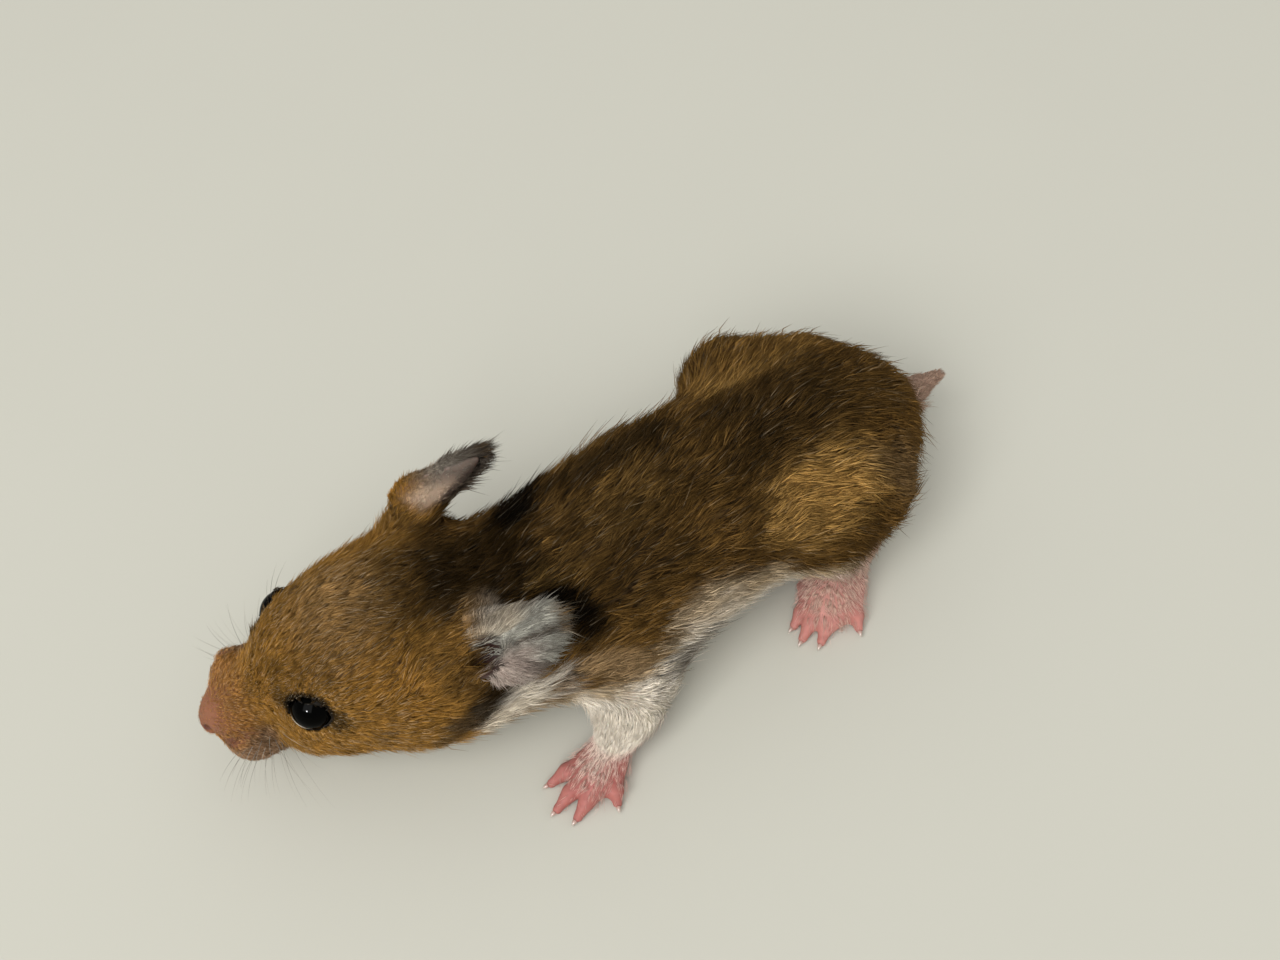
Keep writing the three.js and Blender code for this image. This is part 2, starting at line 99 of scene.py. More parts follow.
# Toes: the turn from the paw's heading in degrees, outward being plus, and the reach from the palm in mm, at
# the root and at the claw's end.
FORE_TOES = [
    ((-86, 2.1), (-49, 6.2)),
    ((-33, 2.0), (-21, 6.9)),
    ((17, 2.0), (0, 6.4)),
    ((66, 2.2), (50, 4.9)),
]
HIND_TOES = [
    ((-100, 2.9), (-72, 4.0)),
    ((-52, 2.8), (-34, 6.3)),
    ((-25, 2.6), (-18, 6.9)),
    ((10, 2.4), (0, 6.5)),
    ((66, 2.8), (46, 5.6)),
]
FOREPAW = {"r": (3.3, 2.7, 1.9), "toes": FORE_TOES}
HINDFOOT = {"r": (4.4, 3.4, 2.1), "toes": HIND_TOES}
PAWS = {
    "forepaw_left": {"side": -1, "palm": (35.0, -19.3), "heading": 40, **FOREPAW},
    "forepaw_right": {"side": 1, "palm": (34.4, 9.8), "heading": 28, **FOREPAW},
    "hindfoot_left": {"side": -1, "palm": (65.2, -11.4), "heading": 50, **HINDFOOT},
    "hindfoot_right": {"side": 1, "palm": (64.4, 13.6), "heading": 34, **HINDFOOT},
}
TOE_RADIUS = 0.86
CLAW_LENGTH = 0.55


# ---------- Small maths ----------
def turn_about_z(angle):
    c, s = math.cos(angle), math.sin(angle)
    return np.array([[c, -s, 0], [s, c, 0], [0, 0, 1]])


def turn_about_y(angle):
    c, s = math.cos(angle), math.sin(angle)
    return np.array([[c, 0, s], [0, 1, 0], [-s, 0, c]])


HEAD_TURN = turn_about_z(HEAD_YAW) @ turn_about_y(HEAD_PITCH)


def in_head(p):
    return (p - NOSE_AT) @ HEAD_TURN


def from_head(q):
    return np.asarray(q, float) @ HEAD_TURN.T + NOSE_AT


def norm(v):
    return np.linalg.norm(v, axis=-1)


def unit(v):
    return v / np.maximum(np.linalg.norm(v, axis=-1, keepdims=True), 1e-9)


def ramp(low, high, x):
    t = np.clip((x - low) / (high - low), 0, 1)
    return t * t * (3 - 2 * t)


def mix(a, b, t):
    return a + (b - a) * t


def joined(a, b, k):
    """A union whose joint is rounded over about k."""
    h = np.maximum(k - np.abs(a - b), 0) / k
    return np.minimum(a, b) - h * h * k / 4


def cut_from(a, b, k):
    """a without b, with an edge rounded over about k."""
    return -joined(-a, b, k)


def to_chain(p, points):
    """The distance from p to a bent line, and how far along it from 0 to 1."""
    points = np.array(points, float)
    best, share = np.full(p.shape[:-1], 1e9), np.zeros(p.shape[:-1])
    for i in range(len(points) - 1):
        d = points[i + 1] - points[i]
        t = np.clip((p - points[i]) @ d / (d @ d), 0, 1)
        away = norm(p - points[i] - t[..., None] * d)
        closer = away < best
        best = np.where(closer, away, best)
        share = np.where(closer, (i + t) / (len(points) - 1), share)
    return best, share


def ellipsoid(p, at, r):
    """About the distance to an ellipsoid, negative inside."""
    q = (p - np.array(at)) / np.array(r)
    outer = norm(q)
    return outer * (outer - 1) / np.maximum(norm(q / np.array(r)), 1e-6)


def on_chain(p, points, off, along):
    """1 on a bent line, fading out by the distance to it and by the share of its length."""
    away, share = to_chain(p, points)
    return ramp(*off, away) * ramp(*along, share)


def cell_corners(f):
    """A cell's eight corners, each with its weight at places f in the cell."""
    for corner in range(8):
        c = np.array([corner & 1, corner >> 1 & 1, corner >> 2 & 1])
        yield c, np.prod(np.where(c, f, 1 - f), axis=1)


def lattice_noise(p, seed):
    """Smooth noise from 0 to 1 with features one unit across."""
    base = np.floor(p).astype(np.int64)
    f = p - base
    f = f * f * (3 - 2 * f)
    total = np.zeros(len(p))
    for c, weight in cell_corners(f):
        q = base + c
        h = (q[:, 0] * 374761393 + q[:, 1] * 668265263 + q[:, 2] * 2147483647 + seed * 974634777) & 0xFFFFFFFF
        h = ((h ^ (h >> 13)) * 1274126177) & 0xFFFFFFFF
        h = ((h ^ (h >> 16)) & 0xFFFF) / 65535.0
        total += h * weight
    return total


# ---------- Fields on a grid ----------
def mesh_of(name):
    mesh = NODES[name].data
    mesh.calc_loop_triangles()
    points = np.zeros(len(mesh.vertices) * 3, np.float32)
    mesh.vertices.foreach_get("co", points)
    corners = np.zeros(len(mesh.loop_triangles) * 3, np.int32)
    mesh.loop_triangles.foreach_get("vertices", corners)
    return points.reshape(-1, 3) * 1000 + MIDDLE.astype(np.float32), corners.reshape(-1, 3).astype(np.uint32)


def field_of(points, triangles):
    """The distance to a closed mesh at every point of the grid, negative inside."""
    level = vdb.FloatGrid.createLevelSetFromPolygons(
        (points - LOW).astype(np.float32),
        triangles=triangles,
        transform=vdb.createLinearTransform(voxelSize=STEP),
        exBandWidth=BAND / STEP,
        inBandWidth=BAND / STEP,
    )
    out = np.zeros(SHAPE, np.float32)
    level.copyToArray(out)
    return out


def surface_of(field, value=0.0, adaptivity=0.0):
    grid = vdb.FloatGrid(background=BAND)
    grid.copyFromArray(field.astype(np.float32))
    grid.transform = vdb.createLinearTransform(voxelSize=STEP)
    points, triangles, quads = grid.convertToPolygons(isovalue=value, adaptivity=adaptivity)
    triangles = np.concatenate([triangles, quads[:, [0, 1, 2]], quads[:, [0, 2, 3]]])
    return points + LOW.astype(np.float32), triangles[:, ::-1].astype(np.uint32)


def softened(field, width):
    """The field blurred by a bell curve of that width."""
    reach = int(math.ceil(2.6 * width / STEP))
    offsets = np.arange(-reach, reach + 1)
    weights = np.exp(-0.5 * (offsets * STEP / width) ** 2)
    weights /= weights.sum()
    for axis in range(3):
        padded = np.pad(field, [(reach, reach) if a == axis else (0, 0) for a in range(3)], mode="edge")
        total = np.zeros_like(field)
        for i, w in enumerate(weights):
            place = [slice(None)] * 3
            place[axis] = slice(i, i + field.shape[axis])
            total += np.float32(w) * padded[tuple(place)]
        field = total
    return field


def window(low, high):
    """The part of the grid between two corners, and the places of its points."""
    a = np.clip(np.floor((np.array(low) - LOW) / STEP).astype(int), 0, SHAPE)
    b = np.clip(np.ceil((np.array(high) - LOW) / STEP).astype(int) + 1, 0, SHAPE)
    index = tuple(slice(i, j) for i, j in zip(a, b))
    axes = [LOW[k] + STEP * np.arange(a[k], b[k]) for k in range(3)]
    return index, np.stack(np.meshgrid(*axes, indexing="ij"), axis=-1)


def sampled(field, p):
    """The field at points p."""
    q = np.clip((p - LOW) / STEP, 0, np.array(SHAPE) - 1.001)
    i = q.astype(int)
    f = q - i
    total = np.zeros(len(p))
    for c, weight in cell_corners(f):
        total += weight * field[i[:, 0] + c[0], i[:, 1] + c[1], i[:, 2] + c[2]]
    return total


def slope(field, p, nudge=0.3):
    """The field's outward direction at points p."""
    out = np.zeros((len(p), 3))
    for k in range(3):
        d = np.zeros(3)
        d[k] = nudge
        out[:, k] = sampled(field, p + d) - sampled(field, p - d)
    return unit(out)


def grid_faces(rows, columns, *corners):
    """Faces between closed rows of points. Each of corners names a face's points, out of a, b, c and d."""
    i, j = np.meshgrid(np.arange(rows), np.arange(columns), indexing="ij")
    a, b = i * columns + j, i * columns + (j + 1) % columns
    places = {"a": a, "b": b, "c": a + columns, "d": b + columns}
    return np.concatenate([np.stack([places[k] for k in names], -1).reshape(-1, 3) for names in corners])


# ---------- Ears ----------
def ear_axes(ear):
    along = unit(np.array(ear["tip"], float))
    facing = np.array(ear["hollow"], float)
    facing = unit(facing - along * (facing @ along))
    rearward = np.cross(along, facing)
    return along, facing, rearward * np.sign(rearward[0])


def in_ear(p, ear):
    """In an ear's own frame: 0 at its foot to 1 at its tip, mm to the rear, and mm towards its hollow."""
    along, facing, rearward = ear_axes(ear)
    q = p - ear["base"]
    v = q @ along / EAR["length"] + EAR["sunk"]
    return v, q @ rearward - ear["lean"] * np.clip(v, 0, 1.2) ** 2, q @ facing


def from_ear(place, ear):
    along, facing, rearward = ear_axes(ear)
    v, across, up = place
    forward = EAR["length"] * (v - EAR["sunk"]) * along
    return ear["base"] + forward + (across + ear["lean"] * v * v) * rearward + up * facing


def near_ear(p, ear, reach=1.6):
    """1 on the ear's sheet, fading to 0 off it."""
    v, across, up = in_ear(p, ear)
    out = np.maximum(np.abs(v - 0.5) - 0.5, 0) * EAR["length"]
    wide = np.maximum(np.abs(across - 0.5) - 4.6, 0)
    return ramp(reach, 0, out + wide) * ramp(-2.5, -1.2, up) * ramp(5.2, 4.0, up) * ramp(0.22, 0.36, v)


def ear_sheet(ear):
    """A closed sheet of even thickness, bent into a cup that is deepest at its base."""
    rows, columns = 48, 64
    along, facing, rearward = ear_axes(ear)
    around_it = np.arange(columns) * 2 * math.pi / columns
    tilt, spin = np.meshgrid(np.linspace(0, math.pi, rows), around_it, indexing="ij")
    x, y, z = np.cos(spin) * np.sin(tilt), np.cos(tilt), np.sin(spin) * np.sin(tilt)
    v = (y + 1) / 2
    wide = EAR["width"] / 2 * x * (0.86 + 0.28 * v) * 0.96
    wide = wide * mix(1.0, np.where(x > 0, ear["rear"], ear["front"]), ramp(0.2, 0.85, v))
    wide = wide * (1 - ear["point"] * ramp(0.55, 1.0, v))
    rim = ramp(0.7, 1.0, np.hypot(x, y))
    thick = EAR["half_thick"] * np.sign(z) * np.sqrt(np.abs(z)) * (1 + 0.3 * rim)
    cup = mix(EAR["cup_at_base"], EAR["cup_at_tip"], v)
    bend = wide / cup
    p = ear["base"] + (EAR["length"] * (v - EAR["sunk"]))[..., None] * along
    p = p + ((cup - thick) * np.sin(bend) + ear["lean"] * v * v)[..., None] * rearward
    p = p + (cup - (cup - thick) * np.cos(bend))[..., None] * facing
    return p.reshape(-1, 3), grid_faces(rows - 1, columns, "acb", "bcd").astype(np.uint32)


# ---------- Paws ----------
def toe_lines(paw):
    """Each toe's middle line from its root to its last pad, and its claw's end."""
    palm = np.array([*paw["palm"], 0.0])

    def spot(turn, reach, height):
        angle = math.radians(paw["heading"] + turn)
        return palm + np.array([-reach * math.cos(angle), paw["side"] * reach * math.sin(angle), height])

    for root, end in paw["toes"]:
        start, claw = spot(*root, 1.15), spot(*end, 0.35)
        forward = unit((claw - start) * np.array([1, 1, 0]))
        pad = claw - forward * (CLAW_LENGTH + 0.5) + np.array([0, 0, 0.2])
        bend = mix(start, pad, 0.5) + np.array([0, 0, 0.28])
        yield [start, bend, pad], claw


def paw_field(p, paw):
    """The distance to a palm and its toes, flat on the floor."""
    turn = turn_about_z(math.radians(-paw["side"] * paw["heading"]))
    q = (p - np.array([*paw["palm"], paw["r"][2] * 0.8])) @ turn
    out = ellipsoid(q, (0, 0, 0), paw["r"])
    toes = np.full(p.shape[:-1], 1e9)
    for line, _ in toe_lines(paw):
        away, share = to_chain(p, line)
        knuckle = 0.10 * np.exp(-(((share - 0.45) / 0.18) ** 2))
        toes = joined(toes, away - (mix(TOE_RADIUS, 0.5, ramp(0.45, 1.0, share)) + knuckle), 0.15)
    return np.maximum(joined(out, toes, 0.8), -p[..., 2] + 0.03)


# ---------- The skin ----------
def eye_centre(name):
    low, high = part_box(name)
    return np.array((low + high) / 2) * 1000 + MIDDLE


EYES = {}
for side, name, ahead, shift in ((-1, "eye_left", 0.34, 0.0), (1, "eye_right", 0.95, 1.0)):
    look = HEAD_TURN @ unit(np.array([-ahead, side * 0.80, 0.50]))
    back = HEAD_TURN @ np.array([1.0, 0, 0])
    back = unit(back - look * (back @ look))
    down = unit(np.cross(look, back) * side)
    down = down * -np.sign(down[2])
    turn = math.radians(LID["turn"])
    EYES[name] = {
        "side": side,
        "at": eye_centre(name) + HEAD_TURN @ np.array([-shift, 0.0, 0.0]),
        "look": look,
        "long": back * math.cos(turn) + down * math.sin(turn),
        "short": down * math.cos(turn) - back * math.sin(turn),
    }


def in_eye(p, eye):
    """Seen from the middle of an eye: along its opening, across it and outwards, and the distance."""
    q = p - eye["at"]
    return q @ eye["long"], q @ eye["short"], q @ eye["look"], norm(q)


def coat_depth(p):
    """How deep the skin lies under the tips of the coat."""
    h = in_head(p)[..., 0]
    depth = mix(0.16, 0.6, ramp(2.0, 9.0, h))
    depth = mix(depth, 1.0, ramp(9.0, 24.0, h))
    depth = mix(depth, 1.35, ramp(24.0, 36.0, h))
    for ear in EARS.values():
        depth = mix(0.45, depth, ramp(2.5, 6.5, norm(p - ear["base"])))
    for chain in LIMBS.values():
        depth = mix(0.3, depth, ramp(2.0, 9.5, norm(p - np.array(chain[-2]))))
    return depth


# The front of the head in its own frame: rods by their ends and radii, and masses by their places and radii.
SNOUT = ((3.2, 0, 0.1), 2.7, (11, 0, 0.4), 6.1)
CHIN = ((5.6, 0, -3.0), 1.8, (14, 0, -3.2), 4.6)
NOSE_ROD = ((1.7, 0, -0.6), 1.7, (3.8, 0, -0.1), 2.4)
FACE_MASSES = [
    ((19.5, 0, 1.9), (11.5, 9.6, 7.8)),
    ((14.0, 3.2, 4.2), (3.6, 2.9, 3.9)),
    ((17.0, 4.6, -0.9), (8.6, 5.5, 4.9)),
    ((5.8, 3.2, -0.7), (3.1, 3.3, 2.4)),
    ((4.5, 3.5, 1.4), (1.3, 2.2, 1.1)),
]
# The crease over a whisker pad: from the notch behind the nose back towards the cheek.
CREASE = [
    (3.2, 4.3, 1.5),
    (4.7, 5.1, 2.1),
    (6.0, 4.8, 2.3),
    (7.1, 5.2, 1.9),
    (7.8, 5.8, 1.1),
    (8.2, 6.4, 0.4),
]
FLESH = ["head", "neck", "chest", "belly", "rump", *LIMBS]


def around(points, reach):
    points = np.array(points, float).reshape(-1, 3)
    return window(points.min(0) - reach, points.max(0) + reach)


def rod(p, a, ra, b, rb):
    away, share = to_chain(p, [a, b])
    return away - mix(ra, rb, share)


def muzzle(p):
    """The front of the head under its coat, and how far back each place is."""
    q = in_head(p)
    h = q[..., 0]
    q = np.stack([h, np.abs(q[..., 1]), q[..., 2]], axis=-1)
    out = rod(q, *SNOUT)
    for at, r in FACE_MASSES:
        out = joined(out, ellipsoid(q, at, r), 2.2)
    out = joined(out, rod(q, *CHIN), 2.2) + mix(0.1, 0.55, ramp(2.5, 9.0, h))
    return joined(out, rod(q, *NOSE_ROD) + 0.03, 0.8), h


def make_skin_field():
    """The skin under the coat, before the face is carved: the flesh, muzzle, tail, paws and ears as one."""
    flesh = np.full(SHAPE, BAND, np.float32)
    for name in FLESH:
        flesh = np.minimum(flesh, field_of(*mesh_of(name)))
    for eye in EYES.values():  # the sockets are filled level with the coat, and cut again below
        index, p = around(eye["at"], 5)
        _, _, w, away = in_eye(p, eye)
        plug = np.maximum(away - 2.8, w - 1.15)
        flesh[index] = np.minimum(flesh[index], plug)
    skin = softened(field_of(*surface_of(flesh, SEAM)) + SEAM, SOFTNESS)
    skin = skin + coat_depth(window(LOW, HIGH - STEP)[1]).astype(np.float32)

    index, p = around(from_head([5, 0, 0]), 12)
    front, back = muzzle(p)
    skin[index] = mix(front, skin[index], ramp(8.0, 12.0, back))
    skin = joined(skin, softened(field_of(*mesh_of("tail")), 0.3), 1.0)
    index, p = around([TAIL_BASE, TAIL_TIP], 4.0)
    away, share = to_chain(p, [mix(TAIL_BASE, TAIL_TIP, -0.2), mix(TAIL_BASE, TAIL_TIP, 0.55)])
    skin[index] = joined(skin[index], away - mix(2.3, 1.2, share), 0.6)
    for paw in PAWS.values():
        index, p = around([*paw["palm"], 2.0], 9.0)
        skin[index] = joined(skin[index], paw_field(p, paw), 2.2)
    for ear in EARS.values():
        along, facing, rearward = ear_axes(ear)
        base = ear["base"]
        index, p = around(base, 7.0)
        away, share = to_chain(p, [base - 3.0 * along, base + 2.0 * along + 0.2 * facing])
        skin[index] = joined(skin[index], away - mix(2.8, 1.1, share), 1.5)
        skin = joined(skin, softened(field_of(*ear_sheet(ear)), 0.16), 0.9)
        index, p = around(base, 14.0)
        away, share = to_chain(p, [from_ear(place[:3], ear) for place in EAR_FOLD])
        fold = away - np.interp(share, [0, 0.5, 1], [place[3] for place in EAR_FOLD])
        skin[index] = joined(skin[index], fold, 0.7)
        q = np.stack([(p - from_ear(ear["hole"], ear)) @ axis for axis in (along, rearward, facing)], axis=-1)
        skin[index] = cut_from(skin[index], ellipsoid(q, (0, 0, 0), (2.4, 1.25, 1.6)), 0.6)
    return skin


def nose_edge(s, t):
    """Below 1 on the bare nose as it is seen from the front, 1 on its edge."""
    return np.hypot(s / 1.9, (t + 0.3) / 1.6)


def under_nose(s, t):
    """1 below the bare nose, fading to 0 on it."""
    return ramp(1.0, 1.4, nose_edge(s, t)) * ramp(-0.4, -1.6, t)


def carve_face(skin):
    """Eye sockets, nostrils, the groove under the nose and the mouth."""
    for eye in EYES.values():
        index, p = around(eye["at"], 5)
        u, v, w, away = in_eye(p, eye)
        hood = np.maximum(away - EYE_RADIUS - 0.16, -w - 0.6)
        part = joined(skin[index], hood, 0.5)
        part = cut_from(part, away - EYE_RADIUS - 0.03, 0.12)
        opening = (np.sqrt((u / LID["long"]) ** 2 + (v / LID["short"]) ** 2) - 1) * LID["short"]
        part = cut_from(part, np.maximum(opening - 0.12, -w), 0.15)
        skin[index] = part
    index, p = around(NOSE_AT, 12)
    q = in_head(p)
    h, s, t = q[..., 0], q[..., 1], q[..., 2]
    part = skin[index]
    folded = np.stack([h, np.abs(s), t], axis=-1)
    away, share = to_chain(folded, CREASE)
    part = cut_from(part, away - mix(0.40, 0.25, share), 0.6)
    for side in (-1, 1):
        slant = t - 0.1 + 0.5 * (s * side - 1.2)
        d = np.sqrt(((h - 0.5) / 1.0) ** 2 + ((s * side - 1.25) / 0.42) ** 2 + (slant / 0.5) ** 2)
        part = cut_from(part, (d - 1) * 0.45, 0.25)
    groove = np.maximum(np.maximum(np.abs(s) - 0.13, t - 0.3), h - 2.5)
    part = cut_from(part, np.maximum(groove, -(skin[index] + 0.42)), 0.4)
    edge = np.abs(nose_edge(s, t) - 1) * 1.7 - 0.08
    edge = np.maximum(edge, np.maximum(h - 2.6, t - 0.9))
    part = cut_from(part, np.maximum(edge, -(skin[index] + 0.24)), 0.35)
    lips = np.abs(t + 2.9 + 0.06 * h) - 0.1
    part = cut_from(part, np.maximum(np.maximum(lips, -(skin[index] + 0.55)), h - 7.0), 0.5)
    skin[index] = part
    return skin


# ---------- Markings ----------
GOLD = np.array([0.43, 0.218, 0.043])
OCHRE = np.array([0.31, 0.163, 0.039])
TAN = np.array([0.50, 0.29, 0.084])
BROWN = np.array([0.112, 0.060, 0.017])
UMBER = np.array([0.062, 0.035, 0.0105])
DARK = np.array([0.034, 0.020, 0.007])
BLACK = np.array([0.0045, 0.003, 0.0015])
NOSE = np.array([0.255, 0.108, 0.060])
CREAM = np.array([0.74, 0.62, 0.44])
WHITE = np.array([0.90, 0.82, 0.70])
ASH = np.array([0.30, 0.26, 0.21])
SILVER = np.array([0.50, 0.48, 0.41])
PINK = np.array([0.57, 0.265, 0.225])
FLUSH = np.array([0.42, 0.158, 0.135])
SLATE = np.array([0.075, 0.058, 0.045])  # the coat's roots
BRIGHTNESS = np.array([0.3, 0.6, 0.1])  # how bright red, green and blue look

# Where the white of the underside begins on the flank: X and its height.
WHITE_X = [28, 34, 39, 42, 44, 46, 48, 51, 55.4, 59.7, 63, 66.4, 72, 80]
WHITE_Z = [7.5, 8.5, 9.2, 9.8, 10.5, 13.0, 14.0, 14.6, 12.8, 10.4, 8.4, 7.2, 5.5, 5.0]

FORELEG_Z = [1.4, 3.7, 6.8, 11.0]  # about the heights of a foreleg's chain, from the paw up

# Each mark is a fading capsule from one place to another, with its radius at both ends and how strong it is.
# Flank, belly and cheek marks lie on both sides: their Y is the distance from the body's middle line. Flank
# and back marks are painted before the white of the underside, the others after it.
FLANK_MARKS = [
    (OCHRE, (39.4, 10.6, 16.1), (44.5, 9.6, 15), 3.4, 3, 0.1),
    (TAN, (43.5, 1, 22.6), (48.5, 1.6, 22.4), 2.8, 2.8, 0.12),
    (TAN, (36.5, 3.2, 21.4), (40, 3, 21.8), 2, 2.4, 0.25),
    (TAN, (62.5, 8.8, 18.4), (67.5, 8.8, 17.6), 4, 4.4, 1),
    (DARK, (54.5, 4.5, 22.2), (60, 3, 22.2), 2.2, 2.4, 0.15),
    (DARK, (60, 3, 22.2), (67.5, 1.5, 22.9), 2.6, 3.2, 0.35),
    (UMBER, (70, 1.5, 22.6), (76, 1.5, 19), 3.5, 4, 0.5),
]
BACK_MARKS = [
    (mix(OCHRE, CREAM, 0.2), (52.3, -0.4, 22.8), (55, 0.2, 22.8), 0.9, 0.8, 0.22),
    (mix(OCHRE, BROWN, 0.6), (61.6, 10.8, 17.8), (68.8, 9.5, 18.9), 4.4, 4.4, 0.85),
    (DARK, (42, 2.6, 20.6), (52.5, 3.4, 21.2), 2.8, 2.4, 0.85),
]
BELLY_MARKS = [(ASH * 0.6, (46, 11, 8.8), (52, 11.2, 9.6), 2.2, 1.6, 0.75)]
CHEEK_MARKS = [
    (UMBER * 0.35, (30, 0.5, 21.2), (35.5, 3, 21.2), 3.8, 3.2, 0.85),
    (BROWN, (37.8, 2.6, 21.6), (41, 2.6, 21.8), 1.8, 2, 0.7),
    # Black fur behind and under the ear, darkened further by a painted shadow of the ear over it.
    (BLACK, (36, 5.6, 20.4), (38.4, 8.9, 18.4), 2.9, 2.85, 1),
    (BLACK, (30.2, 10.4, 16.2), (25.8, 11.7, 13.4), 1.7, 1.75, 0.85),
    (mix(DARK, ASH, 0.1), (25.8, 11.7, 13.4), (21.8, 11.7, 10), 1.75, 1.9, 0.85),
    (WHITE, (34.6, 11.2, 13.2), (30.5, 11.2, 12.8), 2.2, 2.5, 1),
    (mix(CREAM, WHITE, 0.5), (30.5, 11.2, 12.2), (26.5, 11.6, 9.4), 2.2, 2, 1),
]
SIDE_MARKS = [
    (TAN, (35.4, -8, 21), (37.4, -8.5, 21), 1.5, 1.3, 0.45),
    (UMBER, (43, -11, 19.8), (48.5, -10.6, 20.3), 3, 2.8, 0.45),
    (mix(BROWN, OCHRE, 0.4), (38, -14, 16.9), (42, -14.8, 15.6), 3, 2.8, 0.75),
    (mix(OCHRE, CREAM, 0.25), (38, -15, 13.6), (42, -15, 12.4), 1.8, 1.8, 0.75),
    (BROWN, (58, -9, 20.3), (60.5, -9.2, 20.3), 2.4, 2.4, 0.55),
    (UMBER, (68.5, -4.6, 21), (71.5, -5.6, 20), 2.6, 2.6, 0.2),
    (mix(CREAM, ASH, 0.4), (73, -8.6, 16.4), (75.5, -8, 14), 2.6, 3, 0.08),
    (BROWN, (60.5, -11, 17.5), (63, -11.3, 16.4), 2.2, 2, 0.35),
    (OCHRE, (24.3, -9.6, 19.2), (27.3, -10.2, 19.8), 2.3, 1.8, 0.75),
    (mix(CREAM, OCHRE, 0.5), (48.5, -13, 13.6), (57, -11, 12.2), 2.4, 2, 0.5),
    # Black fur behind and under the left ear, darkened further by a painted shadow of the ear over it.
    (BLACK, (36.8, -11.2, 19.8), (38.4, -12.8, 18.4), 2.5, 2.2, 1),
]

# At each eye's front corner: a mark's colour, strength and reach, and how broad the dark round the lids is.
EYE_MARKS = {"eye_left": (UMBER, 0.6, 1.6, 1.22), "eye_right": (DARK, 0.9, 2.6, 1.45)}


def laid_on(colour, amount, out):
    """Colours or directions out, blended to another by that amount at each point."""
    return mix(out, colour, np.clip(amount, 0, 1)[:, None])


def marked(out, p, marks, seed):
    """The colours out with marks painted on, their edges ragged."""
    for i, (colour, a, b, ra, rb, strength) in enumerate(marks):
        away, share = to_chain(p, [a, b])
        ragged = 0.75 * (lattice_noise(p * np.array([0.45, 1.3, 1.1]), seed + i) - 0.5)
        out = laid_on(colour, strength * ramp(1.4, 0.6, away / mix(ra, rb, share) + ragged), out)
    return out


def body_colour(p, folded, wide, ragged):
    """Brown with golden marks above, and white below."""
    x, _, z = p.T
    out = mix(BROWN, OCHRE, 0.35 * wide)
    out = laid_on(UMBER, 0.55 * ramp(7.5, 2.0, folded[:, 1] + 3 * ragged) * ramp(15, 20, z), out)
    out = laid_on(mix(BROWN, OCHRE, 0.35), ramp(69, 75, x + 2 * ragged), out)
    out = marked(out, folded, FLANK_MARKS, 20)
    out = marked(out, p, BACK_MARKS, 50)
    edge = z - np.interp(x, WHITE_X, WHITE_Z) + 2.6 * ragged
    out = laid_on(mix(CREAM, OCHRE, 0.35), ramp(2.8, 0.2, edge), out)
    out = laid_on(WHITE, ramp(0.9, -1.4, edge), out)
    return marked(out, folded, BELLY_MARKS, 53)


def with_head(out, p, wide, ragged):
    """The head's own: gold, darker over the crown, and pale under the jaw."""
    h, s, t = in_head(p).T
    head = ramp(29.5, 25.5, h + 1.5 * ragged)
    gold = mix(GOLD, OCHRE, wide) * mix(1.0, 0.78, ramp(3.0, 8.0, t))[:, None]
    out = laid_on(gold, head, out)
    crown = ramp(19.5, 27.0, h) * ramp(7.0, 3.0, np.abs(s + 0.3 * ragged))
    crown = crown * ramp(3.0, 6.5, t) * ramp(33, 30, h)
    out = laid_on(mix(GOLD, CREAM, 0.45), 0.2 * ramp(8.0, 2.0, np.hypot(h - 20, s)), out)
    out = laid_on(DARK, 0.75 * crown, out)
    jaw = t + 0.12 * (h - 14) + 0.8 * ragged
    out = laid_on(mix(GOLD, CREAM, 0.4), 0.5 * head * ramp(-1.0, -4.0, jaw), out)
    return laid_on(mix(WHITE, CREAM, 0.5), head * ramp(-3.8, -5.6, jaw), out)


def with_muzzle(out, p):
    """Pinker towards the nose, and pale on the lips and the whisker pads."""
    h, s, t = in_head(p).T
    out = laid_on(mix(GOLD, NOSE, 0.45) * 1.4, 0.85 * ramp(9.0, 4.0, h), out)
    out = laid_on(mix(CREAM, PINK, 0.4) * 0.85, 0.75 * under_nose(s, t) * ramp(7.5, 4.5, h), out)
    pad = 0.7 * ramp(9.0, 7.5, h) * ramp(2.0, 0.8, t) * ramp(3.4, 4.6, np.abs(s))
    return laid_on(mix(CREAM, NOSE, 0.7) * 0.85, pad, out)


def with_eyes(out, p):
    """Dark at the corners of the eyes and round the lids."""
    for name, eye in EYES.items():
        q = p - eye["at"]
        u, v, w, _ = in_eye(p, eye)
        corner = norm(q - 2.9 * eye["long"] - 1.0 * eye["look"])
        out = laid_on(UMBER, 0.85 * ramp(2.1, 0.6, corner), out)
        corner = norm(q + 2.7 * eye["long"] + 0.9 * eye["short"] - 0.8 * eye["look"])
        shade, strength, reach, broad = EYE_MARKS[name]
        out = laid_on(shade, strength * ramp(reach, 0.5, corner), out)
        lid = np.hypot(u / (LID["long"] + 0.5), (v + 0.45) / (LID["short"] + 0.55))
        out = laid_on(BLACK * 2, 0.95 * ramp(broad, 0.95, lid) * ramp(-0.3, 0.3, w), out)
    return out


def with_limbs(out, p):
    """White lower legs, with ash along the forelegs' rear, and pale paws and tail."""
    x, _, z = p.T
    for name, chain in LIMBS.items():
        if name.startswith("fore"):
            low = on_chain(p, chain, (4.6, 3.4), (0.36, 0.62))
            middle = np.interp(z, FORELEG_Z, [point[0] for point in chain[::-1]])
            out = laid_on(ASH, 0.55 * low * ramp(0.5, 2.5, x - middle), laid_on(WHITE, low, out))
        else:
            out = laid_on(mix(WHITE, CREAM, 0.6), on_chain(p, chain, (4.5, 3.2), (0.62, 0.8)), out)
    out = laid_on(mix(WHITE, PINK, 0.75), 0.8 * paw_share(p), out)
    return laid_on(mix(PINK, CREAM, 0.5) * 0.8, tail_share(p), out)


